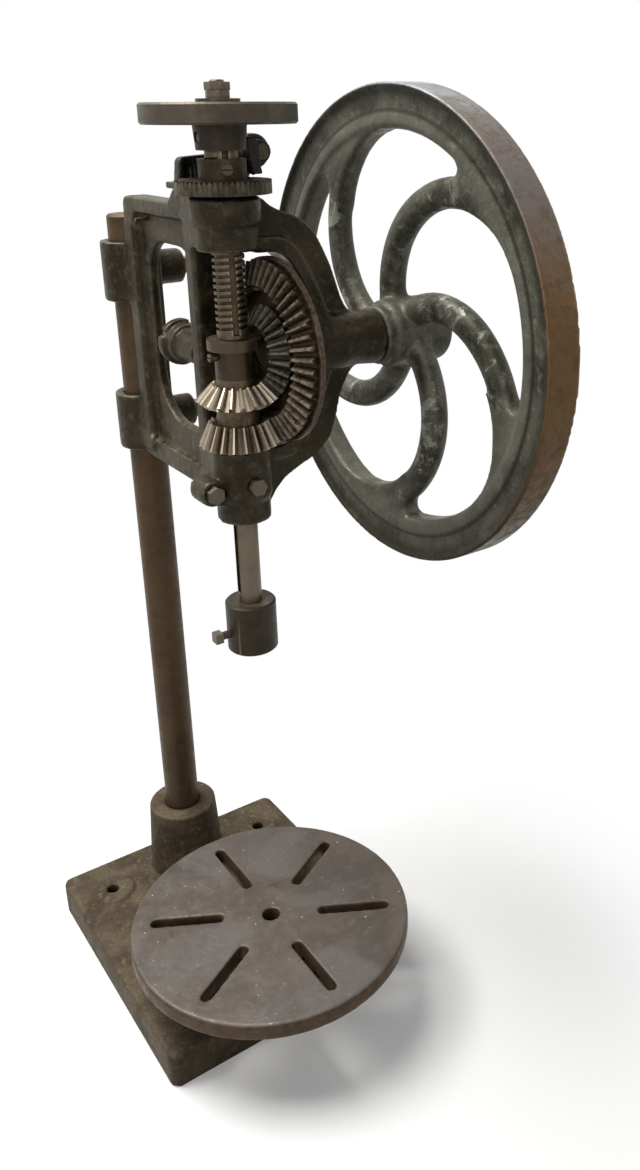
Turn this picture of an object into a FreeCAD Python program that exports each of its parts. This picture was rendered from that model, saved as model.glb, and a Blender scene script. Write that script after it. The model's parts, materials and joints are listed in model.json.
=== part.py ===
import FreeCAD, Part
import math
import os

# Hand crank post drill, in millimetres.
# The origin is on the floor under the spindle axis. +X points to the flywheel,
# +Y to the column at the back and +Z up.

# Clearances
running_gap = 0.05
seat_gap = 0.3
thread_gap = 0.6
loose_gap = 0.5
overlap = 1.0
hole_inset = 2.0

# Base casting
base_width = 254.0
base_front = 40.0
base_back = 247.0
base_thickness = 37.5
base_corner_r = 9.0
base_edge_r = 4.0
base_floor = 10.0
base_hole_r = 10.0
bolt_hole_r = 6.25
bolt_spacing = 176.0
bolt_row_y = 198.0
bolt_pad_r = 22.0
bolt_pad_height = 3.0
socket_foot_r = 40.0
socket_top_r = 35.0
socket_height = 79.0
socket_screw_rise = 47.4

# Column
column_r = 17.5
column_y = 199.0
column_top_z = 745.0
column_chamfer = 2.0

# Table
table_r = 132.0
table_thickness = 17.0
table_top_z = 102.0
table_edge_r = 1.5
table_hole_r = 8.5
table_slot_count = 6
table_slot_width = 10.0
table_slot_inner = 45.0
table_slot_outer = 114.0
table_slot_turn = 30.0
table_hub_r = 34.0
table_stem_r = 16.0
table_seat_r = 38.0
table_seat_height = 23.0

# Spindle and chuck
spindle_r = 10.0
stem_r = 5.5
spindle_top_z = 853.0
shoulder_rise = 15.0
keyway_width = 5.0
keyway_depth = 3.0
keyway_start_rise = 9.0
chuck_r = 21.5
chuck_bottom_z = 394.0
chuck_length = 45.0
chuck_bore_r = 6.35
chuck_bore_depth = 30.0
chuck_edge = 1.5
chuck_screw_rise = 18.0
chuck_screw_r = 3.5
chuck_screw_reach = 36.0
chuck_screw_head = 9.0
chuck_screw_head_length = 7.0

# Crank axis and bevel gears
crank_z = 650.0
tooth_module = 3.0
pinion_teeth = 20
inner_gear_teeth = 24
outer_gear_teeth = 48
inner_face = 18.0
outer_face = 21.0
backlash = 0.5
pressure_angle = 20.0
crankshaft_r = 11.0
crankshaft_start = 24.0
gear_plate_r = 74.5
gear_plate_back = 38.5
gear_rim_inner_r = 60.0
gear_web_front = 34.5
gear_web_back = 37.8
gear_hub_r = 18.0
gear_key = 5.0
sleeve_r = 15.7
flange_r = 21.0
flange_drop = 0.5
flange_thickness = 8.0
pinion_screw_rise = 1.5
pinion_screw_head_r = 3.2
pinion_screw_head_x = 22.0
lower_hub_r = 17.0

# Head frame
bearing_r = 24.0
bearing_nose_r = 22.0
bearing_length = 62.0
bearing_nose_length = 20.0
ear_r = 11.0
ear_reach = 30.0
ear_z_drop = 107.0
ear_front = 9.0
ear_back = 15.0
slit_y = 2.0
slit_width = 2.0
top_boss_rise = 82.0
top_boss_r = 24.0
top_boss_height = 20.0
top_collar_r = 27.0
top_collar_height = 19.5
ratchet_seat_r = 20.0
ratchet_seat_height = 2.2
boss_block_half = 19.2
post_half = 13.0
post_front = 35.0
post_back = 52.0
post_round = 3.0
web_half = 5.0
bead_half = 11.0
frame_back = 178.0
rear_bead_front = 154.0
window_back = 146.0
frame_top_z = 763.0
frame_bottom_z = 526.0
frame_shoulder_z = 775.0
frame_shoulder_y = 64.0
frame_slope_y = 78.0
bottom_bead_height = 20.0
top_bead_height = 13.0
frame_corner_r = 9.0
window_top_z = 727.0
window_bottom_z = 572.0
window_top_r = 32.0
window_lean_r = 44.0
window_toe_r = 12.0
strip_top_z = 742.0
strip_inset = 3.0
strip_proud = 2.0
frame_pin_y = 138.0
frame_pin_z = 745.0
frame_pin_r = 1.6
frame_pin_length = 16.0
collar_r = 25.5
collar_height = 54.0
collar_root = 12.0
upper_collar_z = 668.0
lower_collar_z = 528.0
clamp_boss_r = 16.0
clamp_boss_reach = 48.0
clamp_screw_r = 6.0
clamp_head = 14.0
clamp_head_length = 11.0
arm_front = 8.0
arm_back = 22.0
arm_web_front = 0.0
arm_web_back = 14.0
arm_bead = 11.0
arm_root_x = 20.0
arm_inner_rise = 78.5
arm_inner_edge = [(36, 78.5), (49, 71), (59, 55), (67.5, 37), (75, 17)]
upper_arm_edge = [(118, 20), (106, 27), (98, 45.5), (86, 76), (68, 100), (45, 110), (32, 119)]
lower_arm_edge = [(118, 20), (106, 31), (96, 52.5), (84, 85), (66, 98), (42, 109.5), (27, 126), (22, 138)]
crank_boss_start = 50.0
crank_boss_end = 131.0
crank_boss_r = 23.5
crank_boss_taper_x = 92.0
crank_boss_waist_r = 22.0
crank_boss_waist_x = 112.0
crank_boss_end_r = 24.0
oil_hole_r = 2.2
oil_hole_x = 104.0
oil_hole_y = 56.0
oil_hole_z = 730.0

# Feed screw, ratchet, handwheel
screw_r = 12.5
thread_root_r = 10.3
thread_pitch = 5.0
thread_ridge = 2.5
washer_r = 12.0
washer_thickness = 3.0
screw_bore_r = 5.8
ratchet_r = 36.0
ratchet_thickness = 10.0
ratchet_hub_r = 18.0
ratchet_hub_height = 15.0
ratchet_teeth = 56
notch_depth = 1.8
feed_keyway_turn = -104.0
feed_keyway_width = 5.0
feed_keyway_depth = 3.0
neck_height = 6.0
handwheel_r = 57.5
handwheel_thickness = 15.0
handwheel_edge_r = 1.5
handwheel_hub_top_r = 20.0
handwheel_hub_bottom_r = 18.5
handwheel_hub_height = 18.0
spigot_r = 9.0
top_washer_r = 16.3
top_washer_thickness = 2.5
nut_across = 16.5
nut_height = 5.6

# Pawl
pawl_plate_front = 38.0
pawl_plate_back = 48.0
pawl_pivot_x = 48.0
pawl_pivot_z = 801.5
pawl_boss_r = 13.5
pawl_pin_r = 4.0
pawl_hub_r = 9.0
pawl_hub_front = 28.0
pawl_strap_front = 8.0
pawl_strap_back = 18.0
pawl_strap_top = 813.0
pawl_strap_bend = 797.0
pawl_strap_width = 8.5
pawl_strap_lean = 4.5
pawl_neck_half = 6.0
pawl_boss_proud = 4.0
pawl_pin_head = 3.0
pawl_lift = 0.6
pawl_drop = 1.4
pawl_tooth = 1.5
pawl_tooth_half = 0.75
pawl_notch = 3

# Feed lever stub behind the post
stub_z = 645.0
stub_r = 13.5
stub_ring_r = 16.5
stub_flange_r = 20.0
stub_length = 52.0
stub_ring_length = 19.0
stub_flange_length = 8.0

# Flywheel
wheel_r = 203.0
wheel_near_x = 145.0
wheel_width = 34.0
lip_inner_r = 201.0
cove_r = 197.0
cove_depth = 5.0
crease_r = 181.5
crease_depth = 6.5
ledge_outer_r = 180.0
ledge_inner_r = 167.0
ledge_depth = 4.5
ledge_round = 4.0
wheel_hub_r = 29.0
wheel_hub_near_r = 25.5
wheel_hub_near_length = 8.0
hub_edge = 3.0
wheel_hub_end_x = 198.0
crankshaft_end_x = 206.0
crank_end_r = 10.5
end_chamfer = 1.0
arm_count = 5
arm_curve_r = ledge_inner_r * 0.494
arm_curve_centre = ledge_inner_r * 0.4659
arm_foot_r = ledge_inner_r * 0.5868
arm_first_angle = 27.0
arm_width = 26.0
arm_depth = 23.0
arm_foot_depth = 18.0
arm_start_angle = 172.0
arm_end_angle = 36.0
arm_sections = 7
foot_nose_r = 8.0
foot_overlap = 1.5
foot_thickness = 20.0
foot_inside_angle = 72.0
wheel_key = 6.0

# Screws and bolts
pinch_bolt_r = 4.0
pinion_screw_r = 2.2
feed_key_r = 2.2
wheel_screw_x = 188.0
wheel_edge_r = 1.0
bracket_screw_r = 2.5
bracket_screw_length = 14.0
bracket_screw_spread = 8.0
bracket_screw_y = 56.0
bracket_foot_half = 6.0
bracket_foot_height = 5.0
bracket_reach = 19.0
bracket_wall = 5.0
bracket_inset = 1.5
bracket_step = 2.5
bracket_shelf = 13.0
bracket_round = 5.0
bracket_head_height = 3.0
stub_notch_r = 3.0
stub_notch_turns = (60.0, 150.0)
stub_slot_length = 16.0
stub_slot_half = 1.0
stub_slot_depth = 6.0
hex_across = 13.0
hex_height = 5.5
set_screw_r = 4.0
bearing_screw_z_drop = 102.0
slot_width = 1.2
slot_depth = 1.5

X = FreeCAD.Vector(1, 0, 0)
Y = FreeCAD.Vector(0, 1, 0)
Z = FreeCAD.Vector(0, 0, 1)
ORIGIN = FreeCAD.Vector(0, 0, 0)
AXES = {"x": X, "y": Y, "z": Z}


# General shapes

def point(axis, across, up, station):
    """A point given across, up and along one axis."""
    if axis == "x":
        return FreeCAD.Vector(station, across, up)
    if axis == "y":
        return FreeCAD.Vector(across, station, up)
    return FreeCAD.Vector(across, up, station)


def rod(radius, start, end, axis="z", across=0.0, up=0.0):
    """A round bar from one station to another along an axis."""
    return Part.makeCylinder(radius, end - start, point(axis, across, up, start), AXES[axis])


def tube(outer_r, inner_r, start, end, axis="z", across=0.0, up=0.0):
    """A round bar with a bore right through it."""
    outer = rod(outer_r, start, end, axis, across, up)
    return outer.cut(rod(inner_r, start - overlap, end + overlap, axis, across, up))


def block(x0, x1, y0, y1, z0, z1):
    """A box between two corners."""
    return Part.makeBox(x1 - x0, y1 - y0, z1 - z0, FreeCAD.Vector(x0, y0, z0))


def place(shape, axis, across=0.0, up=0.0):
    """Turns a shape made about +Z to another axis and moves it sideways."""
    turn = FreeCAD.Rotation(Z, AXES[axis])
    shape.Placement = FreeCAD.Placement(point(axis, across, up, 0.0), turn)
    return shape


def turned(profile, axis="z", across=0.0, up=0.0):
    """A turned solid from (radius, station) points."""
    corners = [FreeCAD.Vector(r, 0, s) for r, s in profile]
    face = Part.Face(Part.makePolygon(corners + corners[:1]))
    return place(face.revolve(ORIGIN, Z, 360), axis, across, up)


def rounded_wire(corners, axis, station):
    """A closed wire through (across, up, corner radius) points."""
    ends = []
    count = len(corners)
    for i in range(count):
        before = FreeCAD.Vector(*corners[i - 1][:2], 0)
        here = FreeCAD.Vector(*corners[i][:2], 0)
        after = FreeCAD.Vector(*corners[(i + 1) % count][:2], 0)
        radius = corners[i][2]
        back = (before - here).normalize()
        ahead = (after - here).normalize()
        if radius <= 0:
            ends.append((here, None, here))
            continue
        half = back.getAngle(ahead) / 2
        reach = radius / math.tan(half)
        middle = (back + ahead).normalize()
        centre = here + middle * (radius / math.sin(half))
        ends.append((here + back * reach, centre - middle * radius, here + ahead * reach))
    edges = []
    for i in range(count):
        start, bend, end = [None if p is None else point(axis, p.x, p.y, station) for p in ends[i]]
        if bend is not None:
            edges.append(Part.Arc(start, bend, end).toShape())
        following = ends[(i + 1) % count][0]
        target = point(axis, following.x, following.y, station)
        if end.distanceToPoint(target) > 1e-6:
            edges.append(Part.LineSegment(end, target).toShape())
    return Part.Wire(edges)


def plate(corners, start, end, axis):
    """A flat plate with rounded corners, between two stations of an axis."""
    face = Part.Face(rounded_wire(corners, axis, start))
    return face.extrude(AXES[axis] * (end - start))


def smooth_plate(runs, start, end, axis):
    """A flat plate whose edge is a curve through each run of (across, up) points, joined by lines."""
    edges = []
    for i, run in enumerate(runs):
        places = [point(axis, across, up, start) for across, up in run]
        curve = Part.BSplineCurve()
        curve.interpolate(places)
        edges.append(curve.toShape())
        next_place = point(axis, *runs[(i + 1) % len(runs)][0], start)
        edges.append(Part.LineSegment(places[-1], next_place).toShape())
    return Part.Face(Part.Wire(edges)).extrude(AXES[axis] * (end - start))


def prism(sides, across_flats, start, end, axis="z", across=0.0, up=0.0, turn=0.0):
    """A bar with regular flats, such as a hexagon head."""
    radius = across_flats / 2 / math.cos(math.pi / sides)
    corners = []
    for i in range(sides):
        angle = math.radians(turn + 360 * i / sides)
        corners.append((across + radius * math.cos(angle), up + radius * math.sin(angle), 0))
    return plate(corners, start, end, axis)


def joined(shapes):
    """Several overlapping shapes as one solid."""
    whole = shapes[0].multiFuse(shapes[1:])
    return whole.removeSplitter()


def turn_z(shape, degrees):
    """The shape turned about the spindle axis."""
    shape.rotate(ORIGIN, Z, degrees)
    return shape


def rounded_edges(shape, radius, wanted):
    """Rounds the edges that a test picks."""
    edges = [edge for edge in shape.Edges if wanted(edge)]
    return shape.makeFillet(radius, edges)


def save(name, shape):
    """Writes one sub-part and reports it."""
    shape.exportStep("parts/" + name + ".step")
    print(name, len(shape.Solids), round(shape.Volume), shape.isValid())


# Bevel gear geometry: each pair's pitch cones meet at the crank axis

class Bevel:
    """Sizes of one bevel gear whose cone tip is at the origin, opening along +Z."""

    def __init__(self, teeth, mate_teeth, face):
        self.teeth = teeth
        self.pitch_r = tooth_module * teeth / 2
        self.pitch_z = tooth_module * mate_teeth / 2
        self.cone = math.hypot(self.pitch_r, self.pitch_z)
        self.slope = math.atan2(self.pitch_r, self.pitch_z)
        self.small = (self.cone - face) / self.cone
        self.tip = self.on_back_cone(tooth_module)
        self.root = self.on_back_cone(-1.25 * tooth_module)

    def on_back_cone(self, height):
        """Radius and depth of the large end at a height above the pitch line."""
        radius = self.pitch_r + height * math.cos(self.slope)
        return radius, self.pitch_z - height * math.sin(self.slope)

    def half_angle(self, height):
        """Half the tooth's angle about its axis at a height above the pitch line."""
        virtual_r = self.pitch_r / math.cos(self.slope)
        base_r = virtual_r * math.cos(math.radians(pressure_angle))
        pressure = math.radians(pressure_angle)
        at_pitch = (math.pi * tooth_module / 2 - backlash) / 2 / virtual_r
        radius = max(virtual_r + height, base_r)
        here = math.acos(min(1.0, base_r / radius))
        involute = math.tan(here) - here
        at_height = at_pitch + math.tan(pressure) - pressure - involute
        return at_height / math.cos(self.slope)

    def outline(self, depth, first_tooth):
        """Corners of all the teeth, projected from the cone tip onto one plane."""
        heights = [-1.25 * tooth_module, -0.6 * tooth_module, 0.2 * tooth_module, tooth_module]
        flank = [(h, -self.half_angle(h)) for h in heights]
        flank += [(h, self.half_angle(h)) for h in reversed(heights)]
        corners = []
        for tooth in range(self.teeth):
            middle = 2 * math.pi * (tooth + first_tooth) / self.teeth
            for height, angle in flank:
                radius, z = self.on_back_cone(height)
                scale = depth / z
                x = radius * scale * math.cos(middle + angle)
                y = radius * scale * math.sin(middle + angle)
                corners.append(FreeCAD.Vector(x, y, depth))
        return corners

    def toothed(self, profile, first_tooth):
        """The teeth and the ring behind them, inside a turned profile."""
        depths = [s for r, s in profile]
        near = self.outline(min(depths) - overlap, first_tooth)
        far = self.outline(max(depths) + overlap, first_tooth)
        faces = [Part.Face(Part.makePolygon(near + near[:1])), Part.Face(Part.makePolygon(far + far[:1]))]
        count = len(near)
        for i in range(count):
            j = (i + 1) % count
            faces.append(Part.Face(Part.makePolygon([near[i], near[j], far[j], far[i], near[i]])))
        shell = Part.Shell(faces)
        shell.sewShape()
        cone = Part.Solid(shell)
        if cone.Volume < 0:
            cone.reverse()
        return cone.common(turned(profile))


upper_pinion_size = Bevel(pinion_teeth, inner_gear_teeth, inner_face)
inner_gear_size = Bevel(inner_gear_teeth, pinion_teeth, inner_face)
lower_pinion_size = Bevel(pinion_teeth, outer_gear_teeth, outer_face)
outer_gear_size = Bevel(outer_gear_teeth, pinion_teeth, outer_face)

# Heights that follow from the gears and the crank axis
bearing_top_z = crank_z - lower_pinion_size.root[1] - seat_gap
bearing_bottom_z = bearing_top_z - bearing_length
upper_pinion_bottom_z = crank_z - upper_pinion_size.root[1]
shoulder_z = crank_z + shoulder_rise
flange_top_z = shoulder_z - flange_drop
screw_bottom_z = shoulder_z + washer_thickness
ear_z = crank_z - ear_z_drop
bearing_screw_z = crank_z - bearing_screw_z_drop
pinion_screw_z = crank_z + pinion_screw_rise
top_boss_z = crank_z + top_boss_rise
top_collar_z = top_boss_z + top_boss_height
ratchet_seat_z = top_collar_z + top_collar_height
ratchet_bottom_z = ratchet_seat_z + ratchet_seat_height
ratchet_ring_z = ratchet_bottom_z + ratchet_thickness
ratchet_top_z = ratchet_ring_z + ratchet_hub_height
handwheel_hub_z = ratchet_top_z + neck_height
handwheel_bottom_z = handwheel_hub_z + handwheel_hub_height
handwheel_top_z = handwheel_bottom_z + handwheel_thickness
top_washer_z = handwheel_top_z + running_gap
first_nut_z = top_washer_z + top_washer_thickness
second_nut_z = first_nut_z + nut_height
socket_top_z = base_thickness + socket_height
table_seat_z = base_thickness + table_seat_height
chuck_top_z = chuck_bottom_z + chuck_length
wheel_hub_start_x = crank_boss_end + seat_gap
gear_hub_end_x = crank_boss_start - seat_gap
inner_gear_back_x = inner_gear_size.root[1] + loose_gap
keyway_top_z = pinion_screw_z + pinion_screw_head_r + loose_gap


# Base, column and table

def base_plate():
    """The base casting with its column socket, table seat and bolt pads."""
    half = base_width / 2
    corners = [(-half, -base_front, base_corner_r), (half, -base_front, base_corner_r),
               (half, base_back, base_corner_r), (-half, base_back, base_corner_r)]
    slab = plate(corners, 0, base_thickness, "z")
    slab = rounded_edges(slab, base_edge_r, lambda e: e.BoundBox.ZMin > base_thickness - 0.1)
    socket = turned([(0, base_thickness - overlap), (socket_foot_r, base_thickness - overlap),
                     (socket_foot_r, base_thickness), (socket_top_r, socket_top_z), (0, socket_top_z)])
    socket.translate(Y * column_y)
    seat = rod(table_seat_r, base_thickness - overlap, table_seat_z)
    solids = [slab, socket, seat]
    for side in (-1, 1):
        solids.append(rod(bolt_pad_r, base_thickness - overlap, base_thickness + bolt_pad_height, "z",
                          side * bolt_spacing / 2, bolt_row_y))
    body = joined(solids)
    for side in (-1, 1):
        body = body.cut(rod(bolt_hole_r, -overlap, socket_top_z, "z", side * bolt_spacing / 2, bolt_row_y))
    body = body.cut(rod(column_r + running_gap, base_floor, socket_top_z + overlap, "z", 0, column_y))
    body = body.cut(rod(table_stem_r + running_gap, base_floor, table_seat_z + overlap))
    body = body.cut(rod(base_hole_r, -overlap, base_floor + overlap))
    body = body.cut(rod(set_screw_r, table_stem_r, table_seat_r + overlap, "x", 0, table_lock_z()))
    return body.cut(rod(set_screw_r, column_y + column_r, column_y + socket_foot_r, "y", 0, socket_screw_z()))


def table_lock_z():
    """Height of the table's locking screw."""
    return (base_thickness + table_seat_z) / 2


def socket_screw_z():
    """Height of the socket's set screw."""
    return base_thickness + socket_screw_rise


def square_screw(inner, neck_end, axis, across, up, head, head_length, radius):
    """A set screw with a square head, its point at the first station."""
    side = 1 if neck_end > inner else -1
    low, high = sorted((inner, neck_end + side * overlap))
    shank = rod(radius, low, high, axis, across, up)
    low, high = sorted((neck_end, neck_end + side * head_length))
    return joined([shank, prism(4, head, low, high, axis, across, up, 45)])


def socket_set_screw():
    """The set screw behind the socket that holds the column."""
    tip = column_y + column_r + running_gap
    return square_screw(tip, column_y + socket_foot_r + overlap, "y", 0, socket_screw_z(),
                        hex_across, clamp_head_length, set_screw_r)


def table_lock_screw():
    """The set screw that holds the table's stem."""
    tip = table_stem_r + running_gap
    return square_screw(tip, table_seat_r + overlap, "x", 0, table_lock_z(),
                        hex_across, clamp_head_length, set_screw_r)


def column():
    """The round steel column."""
    top = column_top_z
    return turned([(0, base_floor), (column_r, base_floor), (column_r, top - column_chamfer),
                   (column_r - column_chamfer, top), (0, top)], "z", 0, column_y)


def table():
    """The slotted round table with its hub and stem."""
    bottom = table_top_z - table_thickness
    disc = rod(table_r, bottom, table_top_z)
    disc = rounded_edges(disc, table_edge_r, lambda e: e.Closed and len(e.Vertexes) == 1)
    hub = rod(table_hub_r, table_seat_z, bottom + overlap)
    stem = rod(table_stem_r, base_floor + overlap, table_seat_z + overlap)
    body = joined([disc, hub, stem])
    cutters = [rod(table_hole_r, 0, table_top_z + overlap)]
    half = table_slot_width / 2
    for i in range(table_slot_count):
        corners = [(table_slot_inner, -half, half - 0.01), (table_slot_outer, -half, half - 0.01),
                   (table_slot_outer, half, half - 0.01), (table_slot_inner, half, half - 0.01)]
        slot = plate(corners, bottom - overlap, table_top_z + overlap, "z")
        cutters.append(turn_z(slot, table_slot_turn + 360 * i / table_slot_count))
    return body.cut(Part.makeCompound(cutters))


# Head frame

def side_frame():
    """The web with its beads, window, post and shoulder behind the spindle."""
    rear = frame_back
    web = plate([(post_front, frame_bottom_z, 0), (rear, frame_bottom_z, frame_corner_r),
                 (rear, frame_top_z, frame_corner_r), (frame_slope_y, frame_top_z, 0),
                 (frame_shoulder_y, frame_shoulder_z, 0), (post_front + post_round, frame_shoulder_z, 0)],
                -web_half, web_half, "x")
    window = plate([(post_back, window_bottom_z, window_toe_r),
                    (window_back, window_bottom_z, window_lean_r),
                    (window_back, window_top_z, window_top_r),
                    (post_back, window_top_z, window_top_r)],
                   -post_half - overlap, post_half + overlap, "x")
    top_bead = frame_top_z - top_bead_height
    low_bead = frame_bottom_z + bottom_bead_height
    beads = [
        plate([(post_front, frame_bottom_z, 0), (rear, frame_bottom_z, frame_corner_r),
               (rear, low_bead, 0), (post_front, low_bead, 0)], -bead_half, bead_half, "x"),
        plate([(post_front + post_round, top_bead, 0), (rear, top_bead, 0),
               (rear, frame_top_z, frame_corner_r),
               (post_front + post_round, frame_top_z, 0)], -bead_half, bead_half, "x"),
        plate([(rear_bead_front, frame_bottom_z, 0), (rear, frame_bottom_z, frame_corner_r),
               (rear, frame_top_z, frame_corner_r), (rear_bead_front, frame_top_z, 0)],
              -bead_half, bead_half, "x"),
    ]
    strip_side = -bead_half - strip_proud
    strip = block(strip_side, -bead_half + overlap, rear_bead_front + strip_inset, rear - strip_inset,
                  low_bead, strip_top_z)
    pad = block(strip_side - strip_proud, -bead_half + overlap, rear_bead_front - strip_inset,
                rear - strip_inset, frame_bottom_z + frame_corner_r, low_bead + strip_inset)
    post = plate([(-post_half, post_front, post_round), (post_half, post_front, post_round),
                  (post_half, post_back, post_round), (-post_half, post_back, post_round)],
                 frame_bottom_z, ratchet_seat_z, "z")
    shoulder = plate([(post_front + post_round, top_collar_z, 0), (frame_slope_y, top_collar_z, 0),
                      (frame_slope_y, frame_top_z, 0), (frame_shoulder_y, frame_shoulder_z, post_round),
                      (post_front + post_round, frame_shoulder_z, 0)], -post_half, post_half, "x")
    return joined([web.cut(window), strip, pad, shoulder, post] + beads)


def spindle_bosses():
    """The top boss, the lower bearing and the blocks that carry them."""
    seat = ratchet_bottom_z - seat_gap
    top = turned([(0, top_boss_z), (top_boss_r, top_boss_z), (top_boss_r, top_collar_z),
                  (top_collar_r, top_collar_z), (top_collar_r, ratchet_seat_z),
                  (ratchet_seat_r, ratchet_seat_z), (ratchet_seat_r, seat), (0, seat)])
    nose_top = bearing_bottom_z + bearing_nose_length
    low = turned([(0, bearing_bottom_z), (bearing_nose_r, bearing_bottom_z), (bearing_nose_r, nose_top),
                  (bearing_r, nose_top + overlap), (bearing_r, bearing_top_z), (0, bearing_top_z)])
    half = boss_block_half
    corners = [(-half, 0, 0), (half, 0, 0), (post_half, post_back, 0), (-post_half, post_back, 0)]
    upper_block = plate(corners, top_boss_z, ratchet_seat_z, "z")
    lower_block = plate(corners, frame_bottom_z, bearing_top_z, "z")
    ear = rod(ear_r, -ear_front, ear_back, "y", -ear_reach, ear_z)
    root = block(-ear_reach, 0, -ear_front, ear_back, ear_z - ear_r, ear_z + ear_r)
    return [top, low, upper_block, lower_block, ear, root]


def arm_half(side):
    """Inner bead and outer web of the arm above or below the crank axis."""
    outer = upper_arm_edge if side > 0 else lower_arm_edge
    grown = 1 + arm_bead / gear_plate_r
    bead = [(x * grown, rise * grown) for x, rise in arm_inner_edge[::-1]]
    solids = []
    for far_edge, near, far in ((outer, arm_web_front, arm_web_back), (bead, -arm_front, arm_back)):
        root = [(arm_root_x, far_edge[-1][1]), (arm_root_x, arm_inner_rise)]
        runs = [[(x, crank_z + side * rise) for x, rise in run] for run in (arm_inner_edge, far_edge, root)]
        solids.append(smooth_plate(runs, near, far, "y"))
    return solids


def crank_boss():
    """The long bearing of the crankshaft on the arm, slightly waisted."""
    profile = [(0, crank_boss_start), (crank_boss_r, crank_boss_start), (crank_boss_r, crank_boss_taper_x),
               (crank_boss_waist_r, crank_boss_waist_x), (crank_boss_end_r, crank_boss_end),
               (0, crank_boss_end)]
    return turned(profile, "x", 0, crank_z)


def column_collars():
    """The two collars that slide on the column, with their clamp bosses."""
    solids = []
    for start in (upper_collar_z, lower_collar_z):
        middle = start + collar_height / 2
        solids.append(rod(collar_r, start, start + collar_height, "z", 0, column_y))
        solids.append(rod(clamp_boss_r, 0, clamp_boss_reach, "x", column_y, middle))
        solids.append(block(-bead_half, bead_half, frame_back - collar_root, column_y, start,
                            start + collar_height))
    return solids


def head_frame():
    """The one-piece head casting."""
    solids = [side_frame(), crank_boss()] + spindle_bosses() + column_collars()
    solids += arm_half(1) + arm_half(-1)
    body = joined(solids)
    cutters = [
        rod(screw_r + thread_gap, top_boss_z - overlap, ratchet_bottom_z + overlap),
        rod(spindle_r + running_gap, bearing_bottom_z - overlap, bearing_top_z + overlap),
        rod(column_r + running_gap, lower_collar_z - overlap, frame_top_z, "z", 0, column_y),
        rod(crankshaft_r + running_gap, crank_boss_start - overlap, crank_boss_end + overlap, "x", 0,
            crank_z),
        block(-ear_reach - ear_r - overlap, 0, slit_y - slit_width / 2, slit_y + slit_width / 2,
              bearing_bottom_z - overlap, bearing_top_z + overlap),
        rod(pinch_bolt_r + running_gap, -ear_front - overlap, ear_back + overlap, "y", -ear_reach, ear_z),
        rod(set_screw_r, -bearing_r - overlap, -spindle_r, "y", 0, bearing_screw_z),
        rod(oil_hole_r, -post_half, 0, "x", oil_hole_y, oil_hole_z),
        rod(oil_hole_r, crank_z + crankshaft_r, crank_z + crank_boss_r + overlap, "z", oil_hole_x, 0),
    ]
    for start in (upper_collar_z, lower_collar_z):
        cutters.append(rod(clamp_screw_r, column_r, clamp_boss_reach + overlap, "x", column_y,
                           start + collar_height / 2))
    for hole_x in bracket_hole_xs():
        cutters.append(rod(bracket_screw_r, frame_shoulder_z - bracket_screw_length,
                           frame_shoulder_z + overlap, "z", hole_x, bracket_screw_y))
    cutters.append(rod(frame_pin_r, -post_half, 0, "x", frame_pin_y, frame_pin_z))
    return body.cut(Part.makeCompound(cutters))


def head_clamp_screws():
    """The two square-headed screws that clamp the head on the column."""
    screws = []
    for start in (upper_collar_z, lower_collar_z):
        screws.append(square_screw(column_r + running_gap, clamp_boss_reach + overlap, "x", column_y,
                                   start + collar_height / 2, clamp_head, clamp_head_length, clamp_screw_r))
    return Part.makeCompound(screws)


def pinch_bolt():
    """The bolt through the split ears of the lower bearing."""
    head = prism(6, hex_across, -ear_front - hex_height, -ear_front, "y", -ear_reach, ear_z, 30)
    shank = rod(pinch_bolt_r, -ear_front - overlap, ear_back + hex_height + overlap, "y", -ear_reach, ear_z)
    return joined([head, shank])


def pinch_nut():
    """The nut behind the split ears."""
    far = ear_back + hex_height
    nut = prism(6, hex_across, ear_back, far, "y", -ear_reach, ear_z, 30)
    return nut.cut(rod(pinch_bolt_r, ear_back - overlap, far + overlap, "y", -ear_reach, ear_z))


def bearing_screw():
    """The hexagon screw in the front of the lower bearing."""
    tip = -spindle_r - loose_gap
    seat = -bearing_r - seat_gap
    head = prism(6, hex_across, seat - hex_height, seat, "y", 0, bearing_screw_z)
    return joined([head, rod(set_screw_r, -bearing_r - overlap, tip, "y", 0, bearing_screw_z)])


def frame_pin():
    """The small pin in the upper corner of the web."""
    return rod(frame_pin_r, -frame_pin_length, 0, "x", frame_pin_y, frame_pin_z)


def feed_lever_stub():
    """The flanged stub behind the post on which the feed lever turns."""
    far = post_back + stub_length
    flange = far - stub_flange_length
    ring = far - stub_ring_length
    body = turned([(0, post_back), (stub_r, post_back), (stub_r, ring), (stub_ring_r, ring + overlap),
                   (stub_ring_r, flange), (stub_flange_r, flange), (stub_flange_r, far), (0, far)],
                  "y", 0, stub_z)
    for turn in stub_notch_turns:
        angle = math.radians(turn)
        notch = rod(stub_notch_r, flange - overlap, far + overlap, "y", stub_flange_r * math.cos(angle),
                    stub_z + stub_flange_r * math.sin(angle))
        body = body.cut(notch)
    slot = block(-stub_r - overlap, -stub_r + stub_slot_depth, ring - stub_slot_length, ring,
                 stub_z - stub_slot_half, stub_z + stub_slot_half)
    return body.cut(slot)


# Pawl

def bracket_hole_xs():
    """Where the bracket's two screws stand along X."""
    return (-bracket_screw_spread, bracket_screw_spread)


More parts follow.
